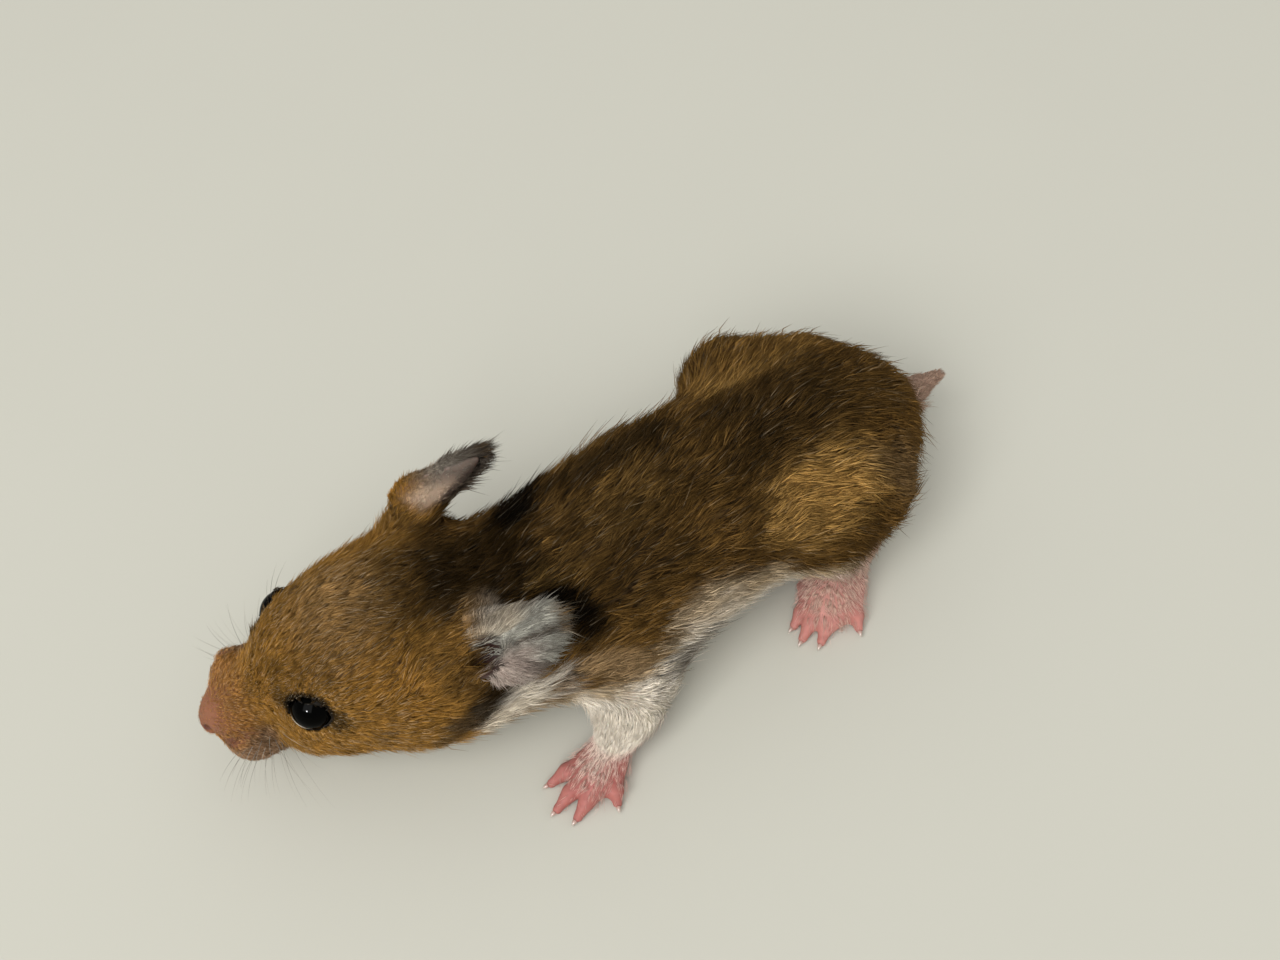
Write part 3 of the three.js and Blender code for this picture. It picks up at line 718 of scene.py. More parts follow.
def coat_colour(p):
    """The coat's colour over points p, before each tuft's own share."""
    x, y, z = p.T
    aside = y - np.interp(x, SPINE_X, SPINE_Y)
    folded = np.stack([x, np.abs(aside), z], axis=-1)
    ragged = lattice_noise(p * np.array([0.5, 1.1, 1.1]), 3) - 0.5
    wide = lattice_noise(p * 0.16, 5)[:, None]
    out = with_head(body_colour(p, folded, wide, ragged), p, wide, ragged)
    folded[:, 2] += 2.2 * ramp(0, 3, aside)  # the cheek's marks reach less far up on the right
    out = marked(out, folded, CHEEK_MARKS, 30)
    out = marked(out, p, SIDE_MARKS, 40)
    out = with_limbs(with_eyes(with_muzzle(out, p), p), p)
    for name, ear in EARS.items():
        shade = left_ear_colour(p, ear) if name == "ear_left" else right_ear_colour(p, ear)
        out = laid_on(shade, near_ear(p, ear), out)
    return out


def left_ear_colour(p, ear):
    """Silver and ash in streaks that fan out from the canal, paler along the fold and pinker to the rear."""
    v, across, up = in_ear(p, ear)
    along, _, rearward = ear_axes(ear)
    q = p - from_ear(ear["hole"], ear)
    fan = np.arctan2(q @ rearward, q @ along)
    streak = lattice_noise(np.stack([fan * 9, up * 0.3, v * 1.2], axis=-1), 8)
    out = mix(SILVER * 0.85, ASH * 0.45, ramp(0.35, 0.8, streak)[:, None])
    front = ramp(0.1, -0.8, across + 1.6 * (v - 0.25))
    out = laid_on(mix(OCHRE, ASH, ramp(0.2, 0.6, v)[:, None]), front, out)
    out = laid_on(mix(SILVER, PINK, 0.3), 0.8 * ramp(1.0, 2.6, across) * ramp(0.95, 0.6, v), out)
    ridge, _ = to_chain(p, [from_ear(place[:3], ear) for place in EAR_FOLD])
    return laid_on(mix(CREAM, ASH, 0.55), 0.7 * ramp(1.2, 0.6, ridge) * ramp(0.9, 0.7, v), out)


def right_ear_colour(p, ear):
    """Gold at the foot, pale inside, ash towards the tip, and dark at the tip and the rear edge."""
    v, across, _ = in_ear(p, ear)
    light = ramp(0.30, 0.5, v) * ramp(-3.4, -1.4, across)
    out = laid_on(mix(CREAM, PINK, 0.25) * 0.95, light, GOLD * 0.8)
    out = laid_on(ASH * 0.75, ramp(0.55, 0.85, v), out)
    dark = np.maximum(ramp(0.9, 1.05, v), ramp(0.3, 1.3, across + 1.2 * (v - 0.6)))
    return laid_on(SLATE * 0.8, 0.9 * dark, out)


def paw_share(p):
    """1 on the bare part of a paw, fading to 0 up the limb."""
    out = np.zeros(len(p))
    for paw in PAWS.values():
        palm = np.array([*paw["palm"], 1.0])
        flat = norm((p - palm)[:, :2])
        out = np.maximum(out, ramp(9.5, 8.5, flat) * ramp(4.4, 2.6, p[:, 2]))
        if paw["toes"] is HIND_TOES:
            side = np.abs(p[:, 1] - np.interp(p[:, 0], SPINE_X, SPINE_Y))
            out = np.maximum(out, 0.8 * ramp(6.5, 5.0, flat) * ramp(8.6, 6.4, p[:, 2]) * ramp(7.0, 8.5, side))
    return out


def toe_share(p):
    """1 on the toes, 0 on the palm."""
    out = np.zeros(len(p))
    for paw in PAWS.values():
        for line, _ in toe_lines(paw):
            out = np.maximum(out, on_chain(p, line, (1.5, 1.0), (0.12, 0.45)))
    return out


def tail_share(p):
    return on_chain(p, [TAIL_BASE, TAIL_TIP], (2.6, 1.6), (0.12, 0.32))


def skin_colour(p, normals):
    """The skin's colour: the coat's own, darker, where it is furred, and flesh where it is bare."""
    out = coat_colour(p)
    h, s, t = in_head(p).T
    blotch = lattice_noise(p * 1.1, 12)[:, None]
    fine = lattice_noise(p * 3.4, 13)[:, None]
    luma = out @ BRIGHTNESS
    out = mix(out * 0.62, out * 0.92, ramp(0.15, 0.5, luma)[:, None])

    front = ramp(52, 48, p[:, 0])[:, None]
    flesh = mix(PINK, FLUSH, 0.2 + 0.5 * blotch + 0.7 * front) * (0.86 + 0.28 * fine)
    out = laid_on(flesh, paw_share(p), out)
    out = laid_on(mix(flesh, FLUSH, 0.45), 0.8 * toe_share(p), out)
    out = laid_on(mix(PINK, CREAM, 0.55) * (0.72 + 0.25 * fine), tail_share(p), out)
    out = laid_on(mix(NOSE, OCHRE, 0.3) * (0.85 + 0.3 * fine), 0.9 * ramp(8.5, 5.5, h), out)
    out = laid_on(NOSE * (0.88 + 0.24 * fine), ramp(5.2, 3.2, h), out)
    # Painted shade in the groove round the bare nose, except at its top.
    edge = np.abs(nose_edge(s, t) - 1) * 1.7
    out = laid_on(NOSE * 0.45, 0.7 * ramp(0.35, 0.08, edge) * ramp(2.8, 2.2, h) * ramp(1.0, 0.6, t), out)
    lip = under_nose(s, t)
    out = laid_on(mix(PINK, CREAM, 0.3) * 0.75, 0.6 * lip * ramp(6.5, 4.5, h), out)
    # Painted shade along the crease over each whisker pad.
    away, _ = to_chain(np.stack([h, np.abs(s), t], axis=-1), CREASE)
    out = laid_on(mix(FLUSH, OCHRE, 0.4) * 0.4, 0.8 * ramp(1.0, 0.3, away), out)
    # Painted shade in the nostrils, darker the deeper the skin is carved there.
    for side in (-1, 1):
        hole = np.sqrt(((h - 0.6) / 1.0) ** 2 + ((s * side - 1.2) / 0.5) ** 2 + ((t - 0.1) / 0.5) ** 2)
        deep = ramp(0.15, -0.1, sampled(UNCARVED, p) + 0.1)
        out = laid_on(FLUSH * 0.25, ramp(1.2, 0.7, hole) * deep, out)
    # Painted shade along the mouth line between the lips.
    lips = np.abs(t + 2.9 + 0.06 * h)
    out = laid_on(FLUSH * 0.35, ramp(0.4, 0.12, lips) * ramp(8.0, 6.5, h), out)
    for ear in EARS.values():
        facing = ear_axes(ear)[1]
        inner = near_ear(p, ear) * ramp(-0.1, 0.35, normals @ facing)
        out = laid_on(np.array([0.10, 0.08, 0.065]) * (0.6 + 0.8 * blotch), 0.9 * inner, out)
        outer = near_ear(p, ear) * ramp(0.1, -0.35, normals @ facing)
        out = laid_on(mix(mix(PINK, ASH, 0.5), out, 0.7), 0.6 * outer, out)
        # Painted shade in each ear's canal.
        hole = norm(p - from_ear(ear["hole"], ear))
        out = laid_on(FLUSH * 0.08, 0.95 * ramp(2.7, 1.5, hole), out)
    for eye in EYES.values():
        _, _, w, away = in_eye(p, eye)
        out = laid_on(BLACK * 1.6, ramp(0.5, 0.3, away - EYE_RADIUS) * ramp(0.0, 0.6, w), out)
    return out


# ---------- The lie of the coat ----------
# Which way the coat is combed at places on the head, in the head's own frame. The right mirrors the left.
HEAD_LIE = [
    ((4, -3.5, -0.5), (0.35, -0.85, -0.3)),
    ((3.5, -1, 2.4), (0.75, -0.45, 0.3)),
    ((8, -1, 6), (0.95, -0.15, 0.25)),
    ((12, 0, 8), (1, 0, 0.1)),
    ((20, 0, 10), (1, 0, 0)),
    ((29, 0, 10), (1, 0, 0)),
    ((15, -5.5, 7), (0.96, 0.08, 0.18)),
    ((9, -6, 1), (0.9, -0.35, -0.1)),
    ((13, -7, -2), (0.97, -0.2, -0.15)),
    ((20, -9.5, 0), (0.97, -0.1, 0.12)),
    ((22, -8.5, 5.5), (0.93, 0.1, 0.3)),
    ((26, -10, -2), (0.96, -0.05, 0.2)),
    ((18, -5, -7.5), (1, 0.05, -0.1)),
    ((8, 0, -5), (1, 0, -0.15)),
]
# The same along the body, in the working frame, not mirrored.
BODY_LIE = [
    ((33, -4.5, 21), (1, 0.02, 0)),
    ((36, -13, 15), (0.95, 0.1, 0.25)),
    ((36, 4, 15), (0.98, 0.1, 0.1)),
    ((41, -12.5, 14), (0.95, 0.2, 0.02)),
    ((46, -3, 22.5), (0.97, 0.25, 0)),
    ((48, -11, 16), (0.95, 0.3, 0.05)),
    ((48, 5, 16), (0.98, 0.12, -0.15)),
    ((56, -1.5, 23), (0.95, 0.3, 0)),
    ((58, -9, 17), (0.92, 0.36, 0.02)),
    ((60, 7, 18), (0.85, 0.5, 0)),
    ((65, 10, 19), (0.78, 0.6, -0.1)),
    ((64, -9, 18), (0.93, -0.1, -0.22)),
    ((66, -1, 24), (0.97, 0.15, -0.05)),
    ((70, -8.5, 13), (0.85, -0.15, -0.55)),
    ((74, 1, 21), (0.95, 0.05, -0.3)),
    ((76, 7, 14), (0.8, 0.15, -0.55)),
    ((78, -2, 13), (0.7, -0.05, -0.7)),
    ((45, -4, 5), (1, 0, 0)),
    ((60, -2, 7), (1, 0, 0)),
    ((48, -10, 10), (0.8, -0.35, -0.45)),
    ((56, -8, 10), (0.85, -0.3, -0.35)),
    ((46, 4, 9), (0.9, 0.2, -0.3)),
]


def lie_of_coat(p, normals):
    """The way the coat is combed at points p, along the skin."""
    places, ways = [], []
    for at, way in HEAD_LIE:
        for side in (1, -1) if at[1] else (1,):
            mirror = np.array([1, side, 1])
            places.append(from_head(np.array(at) * mirror))
            ways.append(HEAD_TURN @ (np.array(way) * mirror))
    for at, way in BODY_LIE:
        places.append(np.array(at))
        ways.append(np.array(way))
    total = np.zeros((len(p), 3))
    for at, way in zip(places, ways):
        total += (1 / (norm(p - at) ** 3.5 + 2.0))[:, None] * unit(way)
    total = unit(total)
    for chain in LIMBS.values():
        chain = np.array(chain)
        down = unit(chain[-1] - chain[1] + np.array([0, 0, 0.6]))
        outward = unit(p - chain[2])
        total = laid_on(down + 0.25 * outward, on_chain(p, chain, (6.5, 3.5), (0.30, 0.62)), total)
    for eye in EYES.values():
        q = p - eye["at"]
        off = norm(q - eye["look"] * (q @ eye["look"])[:, None])
        w = ramp(4.4, 2.2, off) * ramp(-1.0, 1.0, q @ eye["look"])
        total = total + 0.6 * w[:, None] * unit(q)
    for ear in EARS.values():
        along, facing, rearward = ear_axes(ear)
        inner = ramp(-0.2, 0.2, normals @ facing)
        outer_way = along + 0.25 * rearward
        inner_way = unit(p - from_ear(ear["hole"], ear)) + 0.35 * rearward + 0.25 * along
        total = laid_on(laid_on(inner_way, inner, outer_way), near_ear(p, ear), total)
    away, _ = to_chain(p, [TAIL_BASE, TAIL_TIP])
    total = laid_on(unit(TAIL_TIP - TAIL_BASE), ramp(4.0, 2.0, away), total)
    swirl = (lattice_noise(p * 0.3, 61) - 0.5) * 0.5 + (lattice_noise(p * 0.8, 62) - 0.5) * 0.25
    limb = np.zeros(len(p))
    for chain in LIMBS.values():
        limb = np.maximum(limb, on_chain(p, chain, (6.5, 4.5), (0.3, 0.5)))
    total = total + np.cross(normals, unit(total)) * (swirl * (1 - 0.7 * limb))[:, None]
    return unit(total - normals * np.sum(total * normals, axis=-1, keepdims=True))


# ---------- Meshes and materials ----------
def mesh_object(name, points, faces, colours=None, uv=None):
    mesh = bpy.data.meshes.new(name)
    faces = np.asarray(faces)
    mesh.vertices.add(len(points))
    mesh.vertices.foreach_set("co", ((points - MIDDLE) * 0.001).astype(np.float32).ravel())
    mesh.loops.add(faces.size)
    mesh.loops.foreach_set("vertex_index", faces.astype(np.int32).ravel())
    mesh.polygons.add(len(faces))
    mesh.polygons.foreach_set("loop_start", np.arange(0, faces.size, faces.shape[1], dtype=np.int32))
    mesh.update(calc_edges=True)
    if uv is not None:
        layer = mesh.uv_layers.new(name="OFBake")
        layer.uv.foreach_set("vector", uv.astype(np.float32).ravel())
    if colours is not None:
        tint = mesh.color_attributes.new("tint", "FLOAT_COLOR", "POINT")
        tint.data.foreach_set("color", np.c_[colours, np.ones(len(colours))].astype(np.float32).ravel())
    mesh.shade_smooth()
    obj = bpy.data.objects.new(name, mesh)
    bpy.context.scene.collection.objects.link(obj)
    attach(obj, "root")
    return obj


def new_material(name, roughness, grain, grain_mm, bump, colour=None, **sockets):
    """A material of one colour, or of the mesh's tint. Noise with grains of grain_mm varies the colour by the
    share grain and the roughness between two values, and lifts the surface by bump: a strength and mm."""
    material = bpy.data.materials.new(name)
    material.use_nodes = True
    nodes, links = material.node_tree.nodes, material.node_tree.links
    shader = nodes["Principled BSDF"]

    def preset(node, values):
        for socket, value in values.items():
            node.inputs[socket.replace("_", " ")].default_value = value
        return node

    def add(kind, **values):
        return preset(nodes.new("ShaderNode" + kind), values)

    place = add("TexCoord")
    noise = add("TexNoise", Scale=1000 / grain_mm, Detail=3)
    links.new(place.outputs["Object"], noise.inputs["Vector"])
    varied = add("MapRange", To_Min=1 - grain, To_Max=1 + grain)
    links.new(noise.outputs["Fac"], varied.inputs["Value"])
    tinted = add("VectorMath")
    tinted.operation = "SCALE"
    links.new(varied.outputs["Result"], tinted.inputs["Scale"])
    if colour is None:
        source = add("Attribute")
        source.attribute_name = "tint"
        links.new(source.outputs["Color"], tinted.inputs[0])
    else:
        tinted.inputs[0].default_value = colour
    links.new(tinted.outputs["Vector"], shader.inputs["Base Color"])
    rough = add("MapRange", To_Min=roughness[0], To_Max=roughness[1])
    links.new(noise.outputs["Fac"], rough.inputs["Value"])
    links.new(rough.outputs["Result"], shader.inputs["Roughness"])
    height = add("Bump", Strength=bump[0], Distance=bump[1] / 1000)
    links.new(noise.outputs["Fac"], height.inputs["Height"])
    links.new(height.outputs["Normal"], shader.inputs["Normal"])
    preset(shader, sockets)
    return material


# ---------- The skin's mesh ----------
UNCARVED = make_skin_field()
SKIN = carve_face(UNCARVED.copy())


def lid_rim(eye):
    """The bare rim round the eye's opening, as a ring that lies on the ball."""
    around_it, sides = 56, 8
    a = np.arange(around_it) * 2 * math.pi / around_it
    u, v = LID["long"] * np.cos(a), LID["short"] * np.sin(a)
    over = EYE_RADIUS + 0.02
    w = np.sqrt(over**2 - u**2 - v**2)
    line = eye["at"] + u[:, None] * eye["long"] + v[:, None] * eye["short"] + w[:, None] * eye["look"]
    outward = unit(line - eye["at"])
    along = unit(np.roll(line, -1, 0) - np.roll(line, 1, 0))
    aside = np.cross(along, outward)
    turn = np.arange(sides) * 2 * math.pi / sides
    ring = aside[:, None] * np.cos(turn)[:, None] + outward[:, None] * np.sin(turn)[:, None]
    low = ramp(0.2, 1.0, np.sin(a)) * ramp(0.7, -0.3, np.cos(a))
    points = (line[:, None] + (LID["thick"] * mix(0.35, 1.3, low))[:, None, None] * ring).reshape(-1, 3)
    return points, grid_faces(around_it, sides, "abc", "bdc") % len(points)


FLATNESS = 0.02  # how far the skin's mesh may be thinned out where it is flat
SKIN_POINTS, SKIN_FACES = surface_of(SKIN, adaptivity=FLATNESS)
SKIN_FACES = SKIN_FACES.astype(int)


def skin_piece():
    parts, wholes = [SKIN_POINTS.astype(float)], [SKIN_FACES]
    colours = [skin_colour(parts[0], slope(SKIN, SKIN_POINTS))]
    for eye in EYES.values():
        points, faces = lid_rim(eye)
        wholes.append(faces + sum(len(p) for p in parts))
        parts.append(points)
        # The pale lower part of the lid rim is a painted highlight of the wet margin; the rest is black.
        u, v, _, _ = in_eye(points, eye)
        low = ramp(0.3, 1.2, v) * ramp(1.2, -0.6, u)
        shade = mix(BLACK, ASH * 1.3, low[:, None])
        colours.append(shade * (0.7 + 0.6 * lattice_noise(points * 2.5, 70)[:, None]))
    return mesh_object("skin", *map(np.concatenate, (parts, wholes, colours)))


skin = skin_piece()
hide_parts(*FLESH, *PAWS, "nose", "tail", *EARS)
looks = dict(roughness=(0.42, 0.62), grain=0.10, grain_mm=0.5, bump=(0.5, 0.06), Specular_IOR_Level=0.07)
looks = new_material("bare_skin", Subsurface_Weight=0.12, Subsurface_Scale=0.0008, **looks)
skin.data.materials.append(looks)


# ---------- The coat ----------
MOST_TUFTS = 246_000
MOST_IN_A_PIECE = 32_000
CLUMP, LOCK = 12, 110  # about how many tufts lean together, and how many share a shade
COAT_LOOKS = dict(roughness=(0.50, 0.72), grain=0.12, grain_mm=0.35, bump=(0.3, 0.02))
# A tuft's five points are its root, a ring of three and its tip; PATCH is their layout on the UV map.
TUFT_FACES = np.array([[0, 2, 1], [0, 3, 2], [0, 1, 3], [1, 2, 4], [2, 3, 4], [3, 1, 4]])
PATCH = np.array([[0, -1.5], [-1.2, -0.2], [0, 0.1], [1.2, -0.2], [0, 1.5]]) * 0.001


def coat_plan(p, normals):
    """How long and wide the tufts at points p are, and how many times over they cover the skin."""
    h, s, t = in_head(p).T
    length = mix(0.35, 1.5, ramp(1.5, 9.5, h))
    length = mix(length, 2.2, ramp(9.0, 24.0, h))
    length = mix(length, 3.3, ramp(24.0, 36.0, h))
    width = mix(0.034, 0.068, ramp(1.0, 10.0, h))
    width = mix(width, 0.100, ramp(16.0, 36.0, h))
    cover = mix(5.4, 2.8, ramp(-0.3, -0.8, normals[:, 2]))
    lip = ramp(1.0, 1.35, nose_edge(s, t)) * ramp(0.6, -0.4, t)
    cover = cover * mix(0.02, 1, np.maximum(ramp(2.4, 6.2, h + 0.15 * t), 0.7 * lip))
    for chain in LIMBS.values():
        low = on_chain(p, chain, (6.0, 3.5), (0.35, 0.65))
        length, width = mix(length, 1.25, low), mix(width, 0.07, low)
    for ear in EARS.values():
        on_ear = near_ear(p, ear, 3.0)
        inner = ramp(-0.2, 0.2, normals @ ear_axes(ear)[1])
        v, across, _ = in_ear(p, ear)
        length = mix(length, mix(0.75 * ramp(1.3, 0.7, v), 2.4, inner), on_ear)
        width = mix(width, mix(0.05, 0.075, inner), on_ear)
        cover = mix(cover, mix(4.6, 1.1, inner), on_ear)
        front = on_ear * ramp(0.0, -0.9, across + 1.6 * (v - 0.25))
        cover, length = mix(cover, 3.2, front * inner), mix(length, 0.9, front * inner)
        hole = norm(p - from_ear(ear["hole"], ear))
        cover = cover * mix(0.03, 1.0, ramp(1.6, 2.4, hole))
    paw, tail = paw_share(p), tail_share(p)
    length, width = mix(length, 0.9, paw), mix(width, 0.036, paw)
    cover = mix(cover, 0.26, paw) * mix(1, 0.15, toe_share(p))
    cover = cover * mix(1, 0.02, paw * ramp(0.9, 0.5, p[:, 2]))
    length, width, cover = mix(length, 0.7, tail), mix(width, 0.035, tail), mix(cover, 1.4, tail)
    for eye in EYES.values():
        u, v, w, away = in_eye(p, eye)
        over_ball = away - EYE_RADIUS
        opening = np.sqrt((u / LID["long"]) ** 2 + (v / LID["short"]) ** 2)
        cover = cover * np.where((opening < 1.22) & (w > 0.5), 0, 1)
        cover = cover * np.where(over_ball < 0.12, 0, 1)
        length = mix(0.5, length, ramp(0.0, 2.8, over_ball))
    mouth = ramp(0.7, 0.3, np.abs(t + 2.9 + 0.06 * h)) * ramp(8.0, 6.5, h)
    away, _ = to_chain(np.stack([h, np.abs(s), t], axis=-1), CREASE)
    return length, width, cover * (1 - mouth) * (1 - 0.7 * ramp(0.9, 0.4, away))


def scattered():
    """Roots on the skin, as dense as the plan says, with the skin's directions there."""
    corners = SKIN_POINTS[SKIN_FACES].astype(float)
    cross = np.cross(corners[:, 1] - corners[:, 0], corners[:, 2] - corners[:, 0])
    centres = corners.mean(axis=1)
    length, width, cover = coat_plan(centres, unit(cross))
    wanted = cover / (0.5 * length * width) * norm(cross) / 2  # a tuft covers half its length times its width
    total = wanted.sum()
    count = int(min(MOST_TUFTS, total))
    chosen = RANDOM.choice(len(wanted), count, p=wanted / total)
    a, b = RANDOM.random((2, count))
    over = a + b > 1
    a, b = np.where(over, 1 - a, a), np.where(over, 1 - b, b)
    base, side_a, side_b = corners[chosen, 0], corners[chosen, 1], corners[chosen, 2]
    return base + (side_a - base) * a[:, None] + (side_b - base) * b[:, None]


def clumps(roots, size):
    """For each root, the root that leads its clump of about that many."""
    leaders = RANDOM.permutation(len(roots))[: len(roots) // size]
    tree = KDTree(len(leaders))
    for i, k in enumerate(leaders):
        tree.insert(roots[k], i)
    tree.balance()
    return leaders[[tree.find(r)[1] for r in roots]]


def turned(way, normals, angle):
    """Ways turned by an angle over the skin."""
    return way * np.cos(angle)[:, None] + np.cross(normals, way) * np.sin(angle)[:, None]


def settled(q, height, hold):
    """Points q moved to stand that high over the skin, as firmly as hold says."""
    for _ in range(2):
        off = np.clip(height - sampled(SKIN, q), -1.2, 1.2) * hold
        q = q + slope(SKIN, q) * off[:, None]
    return q


def in_an_eye(q):
    """Whether points q lie in front of an eye, in the opening of its lids."""
    inside = np.zeros(len(q), bool)
    for eye in EYES.values():
        u, v, w, _ = in_eye(q, eye)
        inside |= (np.hypot(u / LID["long"], v / LID["short"]) < 1.08) & (w > 0.3) & (w < 5)
    return inside


def tuft_shapes(roots, normals, clump, spread):
    """Every tuft's points, way and length, 1 on an ear or the tail, and whether it clears eyes and floor."""
    number = len(roots)
    length, width, _ = coat_plan(roots, normals)
    limb, fringe = np.zeros(number), np.zeros(number)
    for name, chain in LIMBS.items():
        limb = np.maximum(limb, on_chain(roots, chain, (6.0, 3.5), (0.35, 0.65)))
        if name.startswith("fore"):
            rear = ramp(0.2, 0.7, normals[:, 0])
            fringe = np.maximum(fringe, on_chain(roots, chain, (6.0, 4.0), (0.3, 0.5)) * rear)
    side = np.abs(roots[:, 1] - np.interp(roots[:, 0], SPINE_X, SPINE_Y))
    belly_edge = ramp(12.0, 9.5, roots[:, 2]) * ramp(9.5, 11.0, side) * ramp(44, 47, roots[:, 0])
    fringe = np.maximum(fringe, belly_edge)
    way = turned(lie_of_coat(roots, normals), normals, spread(0.12, 0.13, 0.10) * (1 - 0.65 * limb))
    length = length * np.exp(spread(0.16, 0.10, 0.05))
    stray = RANDOM.random(number) < 0.06 + 0.25 * fringe
    length = np.where(stray, length * 1.25, length)
    depth = np.minimum(coat_depth(roots), 0.42 * length)
    rise = np.clip(0.85 + spread(0.22, 0.12, 0.08), 0.35, 1.5) * np.where(stray, 1.45, 1.0)
    thin = tail_share(roots)
    for ear in EARS.values():
        thin = np.maximum(thin, near_ear(roots, ear, 2.5))

    # Tufts lean to the root that leads their clump.
    pull = roots[clump] - roots
    pull = pull - normals * np.sum(pull * normals, axis=-1, keepdims=True)
    pull = pull * np.minimum(1, 1.2 / np.maximum(norm(pull), 1e-6))[:, None]
    pull = pull * mix(mix(0.5, 1.0, ramp(20.0, 32.0, in_head(roots)[:, 0])), 0.9, thin)[:, None]
    middle = roots + way * (0.4 * length)[:, None] + 0.25 * pull + normals * (0.3 * depth)[:, None]
    tips = roots + way * length[:, None] + 0.55 * pull + normals * (0.5 * depth)[:, None]
    hold = 1 - 0.75 * thin
    middle = settled(middle, 0.62 * depth * rise, hold)
    tips = settled(tips, depth * rise, hold)
    free = ~(in_an_eye(tips) | in_an_eye(middle) | in_an_eye(mix(middle, tips, 0.5)))
    free &= (tips[:, 2] > 0.05) & (middle[:, 2] > 0.05)

    along = unit(tips - middle)
    aside = unit(np.cross(along, normals))
    over = np.cross(aside, along)
    half = (width * np.exp(spread(0.18, 0.0, 0.0)) / 2)[:, None]
    ring = [
        middle - half * aside - 0.35 * half * over,
        middle + 0.75 * half * over,
        middle + half * aside - 0.35 * half * over,
    ]
    return np.stack([roots - 0.12 * normals, *ring, tips], axis=1), way, length, thin, free


def tuft_colours(roots, way, length, spread):
    """The colours of every tuft's points, and its brightness."""
    colour = coat_colour(roots + way * (0.45 * length)[:, None])
    luma = colour @ BRIGHTNESS
    pale = ramp(0.3, 0.55, luma)
    head = ramp(26.0, 22.0, in_head(roots)[:, 0])
    even = mix(1.0, 0.45, np.maximum(pale, 0.2 * head))
    colour = colour * np.exp(spread(0.14, 0.12, 0.10) * even)[:, None]
    dark_tip = (RANDOM.random(len(roots)) < mix(0.30, 0.16, head)) * (1 - pale) * 0.75
    light_hair = (RANDOM.random(len(roots)) < mix(0.06, 0.16, head)) * (1 - pale) * mix(0.28, 0.6, head)
    colour = laid_on(mix(colour, CREAM, 0.4), light_hair, colour)
    soft = np.maximum(pale, 0.75 * head)
    root_colour = mix(colour * mix(0.55, 0.85, soft)[:, None], SLATE, mix(0.6, 0.06, soft)[:, None])
    tip_colour = laid_on(DARK, dark_tip, colour * 1.15)
    return np.stack([root_colour, colour * 0.95, colour, colour * 0.95, tip_colour], axis=1), luma


def grow_coat():
    """Every tuft's points and colours, its brightness, 1 on an ear or the tail, its root and its normal."""
    roots = scattered()
    normals = slope(SKIN, roots)
    clump, lock = clumps(roots, CLUMP), clumps(roots, LOCK)

    def spread(amount, by_clump, by_lock):
        own, theirs, wider = RANDOM.normal(size=(3, len(roots)))
        return amount * own + by_clump * theirs[clump] + by_lock * wider[lock]

    points, way, length, thin, free = tuft_shapes(roots, normals, clump, spread)
    colours, luma = tuft_colours(roots, way, length, spread)
    return [part[free] for part in (points, colours, luma, thin, roots, normals)]


def atlas(p, normals):
    """The place of points on the skin in an unwrap of its shape. The body is unrolled round its middle line,
    and each limb, each side of an ear and the tail has a chart of its own."""
    x, y, z = p.T
    aside = y - np.interp(x, SPINE_X, SPINE_Y)
    up = z - np.interp(x, [0, 12, 30, 50, 66, 84], [8, 10, 12, 13, 13, 9])
    off = np.hypot(aside, up)
    run = x - ramp(9, 1, x) * np.maximum(4.5 - off, 0) + ramp(68, 80, x) * np.maximum(9 - off, 0)
    turn = np.arctan2(aside, -up) / (2 * math.pi) + 0.5
    # The body's chart fills the lower part of the map; the others stand in a row above it.
    uv = np.stack([0.02 + 0.96 * (run + 6) / 102, 0.02 + 0.60 * turn], -1)

    def chart(number, u, v, where):
        corner = np.array([0.02 + 0.107 * number, 0.68])
        place = corner + np.stack([np.clip(u, 0, 1) * 0.095, np.clip(v, 0, 1) * 0.28], -1)
        uv[where] = place[where]

    for i, chain in enumerate(LIMBS.values()):
        away, share = to_chain(p, chain)
        end, knee = np.array(chain[-1]), np.array(chain[1])
        down = unit(end - knee)
        first = unit(np.cross(down, [1.0, 0.2, 0.3]))
        q = p - end
        angle = np.arctan2(q @ first, q @ np.cross(down, first)) / (2 * math.pi) + 0.5
        flat = norm(q[:, :2])
        reach = np.where(z < 4, 0.55 + 0.05 * flat, 0.55 - 0.05 * (q @ -down))
        chart(i, angle, reach, ((away < 4.4) & (share > 0.5)) | ((flat < 9) & (z < 3.2)))
    for i, ear in enumerate(EARS.values()):
        v, across, _ = in_ear(p, ear)
        inner = normals @ ear_axes(ear)[1] > 0
        on_ear = near_ear(p, ear) > 0.4
        chart(4 + 2 * i, across / 10 + 0.5, v, on_ear & inner)
        chart(5 + 2 * i, across / 10 + 0.5, v, on_ear & ~inner)
    away, share = to_chain(p, [TAIL_BASE, TAIL_TIP])
    q = p - TAIL_BASE
    chart(8, np.arctan2(q[:, 2], q[:, 1]) / (2 * math.pi) + 0.5, share, (away < 2.4) & (share > 0.15))
    return uv


def coat_pieces():
    points, colours, luma, thin, roots, normals = grow_coat()
    places = atlas(roots, normals)
    slots = {
        "ear_skin": thin > 0.5,
        "dark_coat": (thin <= 0.5) & (luma < 0.085),
        "pale_coat": (thin <= 0.5) & (luma > 0.32),
    }
    slots["golden_coat"] = ~(slots["ear_skin"] | slots["dark_coat"] | slots["pale_coat"])
    for slot, chosen in slots.items():
        chosen = np.flatnonzero(chosen)
        pieces = max(1, math.ceil(len(chosen) / MOST_IN_A_PIECE))
        looks = new_material(slot, Specular_IOR_Level=0.02, **COAT_LOOKS)
        for k in range(pieces):
            own = chosen[k::pieces]
            faces = (TUFT_FACES[None] + 5 * np.arange(len(own))[:, None, None]).reshape(-1, 3)
            uv = (places[own][:, None, None] + PATCH[TUFT_FACES][None]).reshape(-1, 2)
            name = f"hair_{slot}_{k + 1}" if slot == "ear_skin" else f"{slot}_{k + 1}"
            piece = mesh_object(name, points[own].reshape(-1, 3), faces, colours[own].reshape(-1, 3), uv)
            piece.data.materials.append(looks)


coat_pieces()


